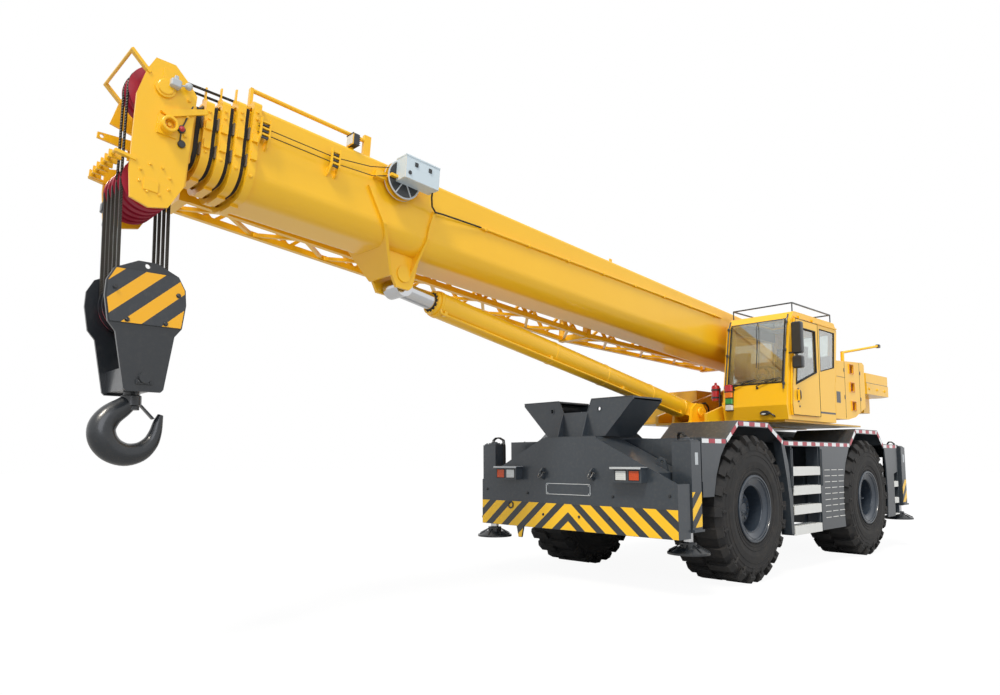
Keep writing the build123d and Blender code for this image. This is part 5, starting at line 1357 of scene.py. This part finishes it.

# The dark lines are painted shade for the gaps of the doors. The hinges are black parts.
gap_shade_lines = [((-1420, 3140), (-1420, 2215)), ((-2060, 3176), (-2060, 2345)), ((-1420, 2880), (-1090, 2880))]
hinges = [(-1400, 2560), (-1400, 3000), (-2080, 2560), (-2080, 3000)]
gap_shade_and_hinges = [tube([(x, 1500, z) for x, z in line], 3.5, 6) for line in gap_shade_lines]
gap_shade_and_hinges += [slab(x - 16, x + 16, 1499, 1506, z - 30, z + 30, 3) for x, z in hinges]
piece("cover_gap_shade_and_hinges", "superstructure", hook_enamel, gap_shade_and_hinges)
blank_cover = slab(-1215, -1055, 1499, 1502, 2455, 2635, 0.8)
piece("blank_cover_plate", "superstructure", hook_enamel, [blank_cover])
print("grilles:", len(vents))

# %% [markdown]
# ## Counterweight
# The counterweight is two steel slabs that are bolted together, with a dark joint between them and
# lifting eyes on top, since it is taken off for the road. Its rear corners carry the same warning
# stripes as the front, worked out from the distance to the middle plus the height.

# %% Dress the counterweight
seam = [slab(-4285, -3185, side * 1216, side * 1220, 2941, 2953, 1) for side in (-1, 1)]
piece("ballast_seam", "superstructure", hook_enamel, seam)
eye_ring = [(30, -14), (30, 14), (52, 14), (56, 8), (56, -8), (52, -14)]
eyes = []
for side in (-1, 1):
    for x in (-3420, -4180):
        eyes.append(hoop(eye_ring, (x, side * 900, 3152), "Y", 28))
        eyes.append(slab(x - 62, x + 62, side * 870, side * 930, 3120, 3134, 4))
    for x in (-3300, -3700, -4100):
        eyes += bolt((x, side * 1230, 2840), "Y", 34, side)
piece("ballast_eyes", "superstructure", crane_enamel, eyes)

corner_stripes = ((0, 1.0, 1.0), 0.24, 0.5, 0.0, True)
ballast_stripe_vinyl = enamel(
    "ballast_stripe_vinyl", "#fbc70d", "#f3bd08", dust_amount=0.12, stripes=corner_stripes
)
strips = []
for side in (-1, 1):
    corner_line = [(-4447, side * 1074), (-4292, side * 1229), (-4280, side * 1222), (-4440, side * 1062)]
    strips.append(plate(corner_line, "Z", 2760, 2928, 0.4))
    strips.append(slab(-4449.5, -4446, side * 760, side * 1060, 2760, 2925, 0.4))
piece("ballast_stripes", "superstructure", ballast_stripe_vinyl, strips)
print("counterweight dressed")

# %% [markdown]
# ## Camera arm
# A thin arm behind the cab carries a camera that watches the winches. A sleeve is welded to its
# post and another to its boom. Both are pipes a little wider than the CAD arm, which hides the
# sharp corner where the two solids meet.

# %% Dress the camera arm
post = tube([(-2180, 1200, 3192), (-2180, 1200, 3416)], 29, 12)
arm = tube([(-2164, 1194, 3396), (-2996, 1498, 3560)], 22, 12)
foot_plate = slab(-2230, -2130, 1150, 1250, 3186, 3196, 3)
piece("camera_arm_sleeve", "superstructure", crane_enamel, [post, arm, foot_plate])
camera_case = slab(-3052, -2980, 1466, 1534, 3530, 3592, 8)
camera_lens = turned([(24, 0), (24, -14), (18, -18), (0, -18)], (-3052, 1500, 3560), "X", 24)
piece("camera_head", "superstructure", hook_enamel, [camera_case, camera_lens])
print("camera arm dressed")

# %% [markdown]
# ## Cable reel of the boom
# A cable runs from the cab to the head and gets longer with the boom, so it is wound on a spring
# reel at the side of the base section. The reel is turned from a few rings and has six spokes of
# bent pipe in its rim. The box behind it is galvanised sheet, which is paler and duller than
# aluminium. Its folds are thin slabs, because a flat face alone would show no sheet edge.

# %% Fit the reel and its box
galvanised = enamel("galvanised_box_sheet", "#d3e0e6", "#bccbd3", dust_amount=0.1, roughness=0.34, coat=0.0)
# Columns: along from and to, across from and to, normal from and to, chamfer
box_sheets = [
    (8691, 9099, 620, 623, 191, 419, 1),
    (8691, 9099, 466, 620, 418, 423, 1),
    (8691, 9099, 466, 620, 187, 191, 1),
    (9099, 9103, 466, 620, 191, 419, 1),
    (8686, 8691, 466, 620, 191, 419, 1),
    (8686, 9106, 612, 628, 408, 426, 3),
    (9094, 9106, 462, 626, 408, 426, 3),
]
piece("reel_box_cover", "boom", galvanised, [slab(*numbers) for numbers in box_sheets], on_boom)

reel_along, reel_normal = 9000, 240
reel_centre = (reel_along, 0, reel_normal)
reel_disc = [(176, 466), (176, 469), (120, 472), (50, 474), (46, 486), (0, 488)]
reel = [turned(reel_disc, reel_centre, "Y", 56)]
reel += [hoop(bead(150 - 14 * i, 411, 13, 44), reel_centre, "Y", 48) for i in range(2)]
reel.append(turned([(158, 412), (158, 454)], reel_centre, "Y", 48))
reel += [slab(x, x + 40, 622, 632, 330, 372, 3) for x in (8790, 8960)]
reel.append(turned([(20, 622), (20, 629), (14, 632), (0, 632)], (9050, 0, 250), "Y", 20))
piece("reel_body", "boom", hook_enamel, reel, on_boom)

spokes = 6
rim = []
for y in (464, 396):
    rim_section = [(178, y), (178, y + 5), (184, y + 8), (194, y + 5), (194, y)]
    rim.append(hoop(rim_section, reel_centre, "Y", 64))
for i in range(spokes):
    angle = math.tau * i / spokes
    root = (reel_along + 50 * math.cos(angle), 474, reel_normal + 50 * math.sin(angle))
    tip = (reel_along + 178 * math.cos(angle), 470, reel_normal + 178 * math.sin(angle))
    rim.append(tube([root, tip], 7, 6))
piece("reel_rim", "boom", aluminium, rim, on_boom)
print("reel spokes:", spokes)

# %% [markdown]
# ## Lamp, guides, cables and conduit
# Farther out sit a work lamp with cooling ribs, and rollers that guide the cables at the collars.
# The cables are thin pipes in rubber that lead from the rollers to the reel. A long conduit comes
# down the side in clips. It could be a curve with a bevel. The pipe function does the same and
# keeps to millimetres, and the clips are set along it at equal steps.

# %% Fit the lamp, guides, cables and conduit
lamp = [slab(9487, 9556, 267, 388, 424, 540, 6), slab(9556, 9566, 266, 389, 528, 542, 3)]
lamp += [slab(9478, 9488, 272, 383, 436 + 20 * i, 442 + 20 * i, 2) for i in range(5)]
piece("boom_lamp_case", "boom", hook_enamel, lamp, on_boom)
piece("boom_lamp_lens", "boom", clear_acrylic, [slab(9556, 9564, 276, 379, 434, 528, 4)], on_boom)

roller = [(9, -44), (9, -33), (14, -32), (11, 0), (14, 32), (9, 33), (9, 44)]
rollers = []
for x in (10440, 9750):
    for normal in (118, 172, 226):
        rollers.append(turned([(radius, x + along) for radius, along in roller], (0, 418, normal), "X", 16))
piece("guide_rollers", "boom", steel, rollers, on_boom)

lower_cable = [(10500, 418, 146), (9750, 418, 146), (9330, 412, 180), (9150, 432, 240)]
upper_cable = [(10500, 418, 200), (9750, 418, 200), (9360, 412, 262), (9120, 436, 330)]
supply_start = [(8700, 540, 192), (8690, 520, 150), (8600, 420, 110)]
supply_end = [(8540, 406, 70), (8440, 400, 84), (7877, 378, 121)]
cables = [tube(lower_cable, 4, 8), tube(upper_cable, 4, 8), tube(supply_start + supply_end, 9, 8)]
piece("boom_cables", "boom", tyre_rubber, cables, on_boom)

clips, clip_spacing = 8, 700
conduit_start, conduit_end = 2713, 7877
start_normal, end_normal = 238, 121
pipe = [tube([(conduit_end, 376, end_normal), (conduit_start, 376, start_normal)], 13, 10)]
for i in range(clips):
    x = 2900 + clip_spacing * i
    fall = (start_normal - end_normal) * (x - conduit_start) / (conduit_end - conduit_start)
    normal = start_normal - fall
    pipe.append(slab(x - 18, x + 18, 359, 391, normal - 20, normal + 20, 4))
    pipe += bolt((x, 391, normal), "Y", 12)
piece("boom_conduit", "boom", crane_enamel, pipe, on_boom)
print("conduit clips:", clips)

# %% [markdown]
# ## Collars of the sections
# Each section slides on nylon pads that show at the collar's mouth, and screws in the collar hold
# them. In front of the collar a dark rubber band goes round the next section, which makes the
# section dark there. The sections get smaller by fixed steps, so one loop dresses four collars. What
# belongs to a section rides on that section, so it moves out with it.

# %% Dress the collars
pad_nylon = enamel(
    "cast_nylon_pads", "#6d6350", "#5b5242", dust="#5a5346", dust_amount=0.4, roughness=0.5, coat=0.0
)
boom_bodies = ["boom", "section_1", "section_2", "section_3", "section_4"]
corner_radius = 36  # at the top of a section; its belly is rounder


def dark_section_band(front, half_width, half_height):
    """The rubber band round a section that has rounded upper corners and a round belly."""
    belly_radius = 210 * (half_width - 33) / 360
    quarters = [(1, 1, corner_radius, 0), (-1, 1, corner_radius, 90)]
    quarters += [(-1, -1, belly_radius, 180), (1, -1, belly_radius, 270)]
    ring_line = []
    for y, normal, radius, turn_from in quarters:
        across, up = half_width - 32 - radius, half_height - 36 - radius
        for i in range(7):
            angle = math.radians(turn_from + 15 * i)
            ring_line.append((y * across + radius * math.cos(angle), normal * up + radius * math.sin(angle)))
    loops = []
    for along, grow in ((front + 14, 0), (front + 14, 9), (front + 49, 9), (front + 49, 0)):
        loop = []
        for y, normal in ring_line:
            loop.append((along, y + grow * (1 if y > 0 else -1), normal + grow * (1 if normal > 0 else -1)))
        loops.append(loop)
    return skin(loops, wrap=True)


def collar_screws(front, half_width, half_height):
    """The screws on a collar's sides, top and face."""
    screws = []
    for side in (-1, 1):
        for normal in (-half_height + 150, half_height - 70, half_height - 130):
            screws += bolt((front - 35, side * (half_width + 30), normal), "Y", 22, side)
        for y in (120, 170):
            screws += bolt((front - 35, side * y, half_height + 30), "Z", 22)
            screws += bolt((front, side * y, half_height + 4), "X", 14)
    return screws


def wear_pads(front, half_width, half_height):
    """The ends of the nylon pads, two at each side and four on top."""
    pads = []
    for side in (-1, 1):
        for normal in (-110, 130):
            a, b = sorted((side * (half_width - 28), side * (half_width + 6)))
            pads.append(slab(front - 1, front + 12, a, b, normal - 55, normal + 55, 2))
        for y in (100, 190):
            z0, z1 = half_height - 32, half_height - 6
            pads.append(slab(front - 1, front + 12, side * y - 38, side * y + 38, z0, z1, 2))
    return pads


for number in range(4):
    collar = (10540 + 120 * number, (720 - 66 * number) / 2, (790 - 74 * number) / 2)
    owner, inner = boom_bodies[number], boom_bodies[number + 1]
    piece(f"dark_section_band_{number}", inner, tyre_rubber, [dark_section_band(*collar)], on_boom)
    piece(f"collar_bolts_{number}", owner, crane_enamel, collar_screws(*collar), on_boom)
    piece(f"wear_pads_{number}", owner, pad_nylon, wear_pads(*collar), on_boom)
print("collars:", len(boom_bodies) - 1)

# %% [markdown]
# ## The head
# The two banks of sheaves turn on pins with turned caps. Beside them sit a wind gauge, whose ball
# is spun aluminium, a lamp in a red dome, and the limit switch that the hook block lifts before it
# can touch the sheaves. They are small, but they stand out against the sky at the boom's end, so
# each has its true outline: turned where the real one is round, chamfered where it is a box.

# %% Dress the head
caps = []
for side in (-1, 1):
    cap_profile = [(62, side * 356), (62, side * 380), (56, side * 385), (0, side * 386)]
    caps.append(turned(cap_profile, (11250, 0, 225), "Y", 36))
    foot_line = [(11318, -545), (11318, -632), (11208, -632), (11208, -545)]
    caps.append(plate(foot_line, "Y", side * 354, side * 362, 3))
    caps += bolt_circle((11240, side * 354, -530), 120, 8, "Y", 18, side, 0.5)
piece("sheave_pin_caps", "section_4", crane_enamel, caps, on_boom)

arms = [
    plate([(11267, 22), (11230, 52), (10913, 180), (10905, 140), (11205, -6)], "Y", 356, 378, 5),
    hoop([(64, 432), (58, 438), (44, 438), (41, 432)], (11200, 0, -80), "Y", 36),
    turned([(40, 380), (40, 386), (16, 388), (14, 410), (0, 410)], (11200, 0, -80), "Y", 28),
]
for normal in (-100, 60, 200):
    arms += bolt((11060, 354, normal), "Y", 26)
    arms += bolt((11060, -354, normal), "Y", 26, -1)
piece("head_arm", "section_4", crane_enamel, arms, on_boom)

gauge_ball = [(2, -30), (18, -25), (28, -12), (30, 0), (28, 12), (18, 25), (2, 30)]
gauge = [slab(11150, 11230, 356, 430, 236, 300, 8), slab(11175, 11205, 390, 420, 296, 330, 4)]
gauge.append(turned(gauge_ball, (11089, 400, 288), "Y", 24))
gauge.append(tube([(11150, 400, 270), (11089, 400, 288)], 6, 8))
piece("wind_gauge", "section_4", aluminium, gauge, on_boom)

lamp_case = [(30, 356), (30, 372), (26, 376), (0, 377)]
lamp_cases = []
for along, normal in ((11094, -62), (11080, -181)):
    lamp_cases.append(turned(lamp_case, (along, 0, normal), "Y", 24))
lamp_wire = [(11094, 360, -181), (11094, 362, -62), (11040, 362, 120), (11010, 340, 200)]
lamp_cases.append(tube(lamp_wire, 6, 6))
piece("head_lamps", "section_4", hook_enamel, lamp_cases, on_boom)
dome = turned([(22, 376), (20, 384), (10, 390), (0, 391)], (11094, 0, -62), "Y", 20)
piece("head_lamp_dome", "section_4", red_acrylic, [dome], on_boom)
switch = [slab(11380, 11440, -300, -236, -690, -610, 6)]
switch.append(tube([(11410, -268, -690), (11412, -268, -800)], 5, 6))
piece("limit_switch", "section_4", hook_enamel, switch, on_boom)
print("head dressed")

# %% [markdown]
# ## Hoist ropes
# Two ropes run over the boom's top, from the winches to the upper sheaves, and down the head's
# front. On the real crane the winch pays out rope while the boom grows. Here a stretch between two
# parts that move apart stays where it is laid and rides on no body. The rests that carry the rope on
# the boom are turned posts with grooved rollers.

# %% Lay the hoist ropes
rope_radius, rope_sides = 11, 10


def rope_between(name, a, b, points):
    """A stretch of rope along the given points. It rides on no body; the bodies a and b are not used."""
    start, end = on_boom @ (Vector(points[0]) * MM), on_boom @ (Vector(points[-1]) * MM)
    line = [on_boom @ (Vector(point) * MM) / MM for point in points]
    shapes = [tube(line, rope_radius, rope_sides)]
    return piece(name, a, wire_rope, shapes, Matrix.Identity(4), between=(b, start, end))


def over_the_sheave(y, rope_normal):
    """The last stretch: a quarter turn round the upper sheave and down the head's front."""
    line = [(10985, y, rope_normal - 16)]
    for i in range(8):
        angle = math.radians(90 - 90 * i / 7)
        line.append((11250 + 218 * math.cos(angle), y, 225 + 218 * math.sin(angle)))
    line.append((11438, y + 36, -530))
    return line


rope_normal = 458
collar_places = [10540, 10660, 10780, 10900, 10985]
# Columns: distance of the rope from the middle, drum of its winch along and up
ropes = [(68, -2960, 2860), (172, -3600, 2760)]
for index, (y, drum_x, drum_z) in enumerate(ropes):
    to_boom = on_boom.inverted() @ on_crane @ (Vector((drum_x - 60, y, drum_z + 186)) * MM) / MM
    rope_between(f"winch_rope_{index}", "superstructure", "boom", [tuple(to_boom), (300, y, rope_normal)])
    straight = [(300, y, rope_normal), (collar_places[0], y, rope_normal)]
    piece(f"boom_rope_{index}", "boom", wire_rope, [tube(straight, rope_radius, rope_sides)], on_boom)
    for n in range(4):
        start = (collar_places[n], y, rope_normal - 4 * n)
        end = (collar_places[n + 1], y, rope_normal - 4 * (n + 1))
        rope_between(f"section_rope_{index}_{n}", boom_bodies[n], boom_bodies[n + 1], [start, end])
    last = tube(over_the_sheave(y, rope_normal), rope_radius, rope_sides)
    piece(f"head_rope_{index}", "section_4", wire_rope, [last], on_boom)

rest_roller = [(26, 20), (26, 34), (16, 38), (16, 200), (26, 204), (26, 220)]
rests = []
for x in (300, 3600, 6900, 10300):
    rests.append(turned(rest_roller, (x, 0, rope_normal - 28), "Y", 20))
    rests += [slab(x - 24, x + 24, y - 7, y + 7, 396, rope_normal - 10, 3) for y in (20, 220)]
piece("rope_rests", "boom", crane_enamel, rests, on_boom)
print("ropes:", len(ropes))

# %% [markdown]
# ## Covers of the hook block
# The block's cover plates carry the same warning stripes as the front, so that its swing is seen.
# They lie a few millimetres off the steel with four bolts each, so that the sheet's edge catches
# some light. Two smaller bolts each side hold the keeper of the hook's bearing.

# %% Dress the hook block
hook_x = ((on_boom @ (Vector((11240, 0, -530)) * MM)).x - slewing_x) / MM
cover_stripes = ((0.87, 0, 1.0), 0.257, 0.5, 0.3, False)
block_stripe_vinyl = enamel(
    "hook_stripe_vinyl", "#f6b60c", "#eda807", dust_amount=0.15, stripes=cover_stripes
)
half = [(225, 2998), (278, 2899), (286, 2780), (259, 2592)]
outline = [(hook_x + x, z) for x, z in half] + [(hook_x - x, z) for x, z in reversed(half)]
covers, studs = [], []
for side in (-1, 1):
    covers.append(plate(outline, "Y", side * 288.5, side * 291, 1))
    for dx, z in ((-232, 2850), (232, 2850), (-140, 2615), (140, 2615)):
        studs += bolt((hook_x + dx, side * 291, z), "Y", 26, side)
    studs += flat(bolt((hook_x + dx, side * 296, 2152), "Y", 16, side) for dx in (-42, 42))
piece("block_cover_stripes", "hook_block", block_stripe_vinyl, covers)
piece("block_studs", "hook_block", hook_enamel, studs)
print("cover bolts:", len(studs) // 2)

# %% [markdown]
# ## The forged hook
# A hook is forged: its section grows towards the middle of the bow, where the load bends it most,
# and runs out to a point. The CAD solid is built from straight cones between twelve stations, with
# an edge at each. A smooth curve through the same stations takes those edges away and keeps the
# size, so the drawn hook can stand in for the solid one. The latch is folded sheet on a small pin.

# %% Forge the hook
# Columns: x from the shank, z, radius
stations = [
    (0, 2035, 64),
    (62, 1975, 76),
    (150, 1905, 90),
    (203, 1815, 101),
    (193, 1722, 104),
    (130, 1645, 99),
    (30, 1608, 90),
    (-75, 1628, 78),
    (-152, 1695, 62),
    (-190, 1780, 49),
    (-208, 1862, 38),
    (-226, 1925, 22),
]
steps_between, points_round = 5, 28
flattened = 0.96  # a hook is a little narrower across than it is high


def between_stations(i, t):
    """A smooth value between two stations, from the four around them."""
    a, b, c, d = [Vector(stations[min(max(i + k, 0), len(stations) - 1)]) for k in (-1, 0, 1, 2)]
    square, cube = 2 * a - 5 * b + 4 * c - d, 3 * b - a - 3 * c + d
    return 0.5 * (2 * b + (c - a) * t + square * t * t + cube * t**3)


curve = []
for i in range(len(stations) - 1):
    curve += [between_stations(i, step / steps_between) for step in range(steps_between)]
curve.append(Vector(stations[-1]))
loops = []
for i, station in enumerate(curve):
    before, after = curve[max(i - 1, 0)], curve[min(i + 1, len(curve) - 1)]
    heading = Vector((after.x - before.x, 0, after.y - before.y)).normalized()
    sideways = Vector((0, 1, 0))
    upward = heading.cross(sideways)
    centre = Vector((hook_x + station.x, 0, station.y))
    loop = []
    for j in range(points_round):
        angle = math.tau * j / points_round
        spoke = sideways * math.cos(angle) * flattened + upward * math.sin(angle)
        loop.append(centre + spoke * station.z)
    loops.append(loop)

shank = [(60, 1955), (60, 2184), (54, 2190), (0, 2190)]
collar = [(62, 1983), (75, 1990), (75, 2064), (68, 2070), (0, 2070)]
latch_line = [(-24, 2072), (-36, 2040), (-176, 1893), (-160, 1886), (-22, 2034)]
forging = [skin(loops)]
forging += [turned(profile, (hook_x, 0, 0), "Z", 40) for profile in (shank, collar)]
forging.append(plate([(hook_x + x, z) for x, z in latch_line], "Y", -21, 21, 3))
forging.append(turned([(14, -34), (14, 34)], (hook_x - 34, 0, 2048), "Y", 16))
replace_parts(piece("hook_forging", "hook", hook_enamel, forging), "hook")
print("rings along the hook:", len(loops))

# %% [markdown]
# ## Falls that pay out
# The strands between the head and the block grow longer when the winch lowers the block. A copy of
# the modelled strands stands in for them where they are, on no body, and the modelled strands are
# hidden.

# %% Falls between head and block
modelled_falls = frame["nodes"]["rope_falls"]
falls_mesh = modelled_falls.data.copy()
falls_mesh.transform(modelled_falls.matrix_world)
falls_strands = bpy.data.objects.new("falls_strands", falls_mesh)
scene.collection.objects.link(falls_strands)
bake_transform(falls_strands)
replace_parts(falls_strands, "rope_falls")
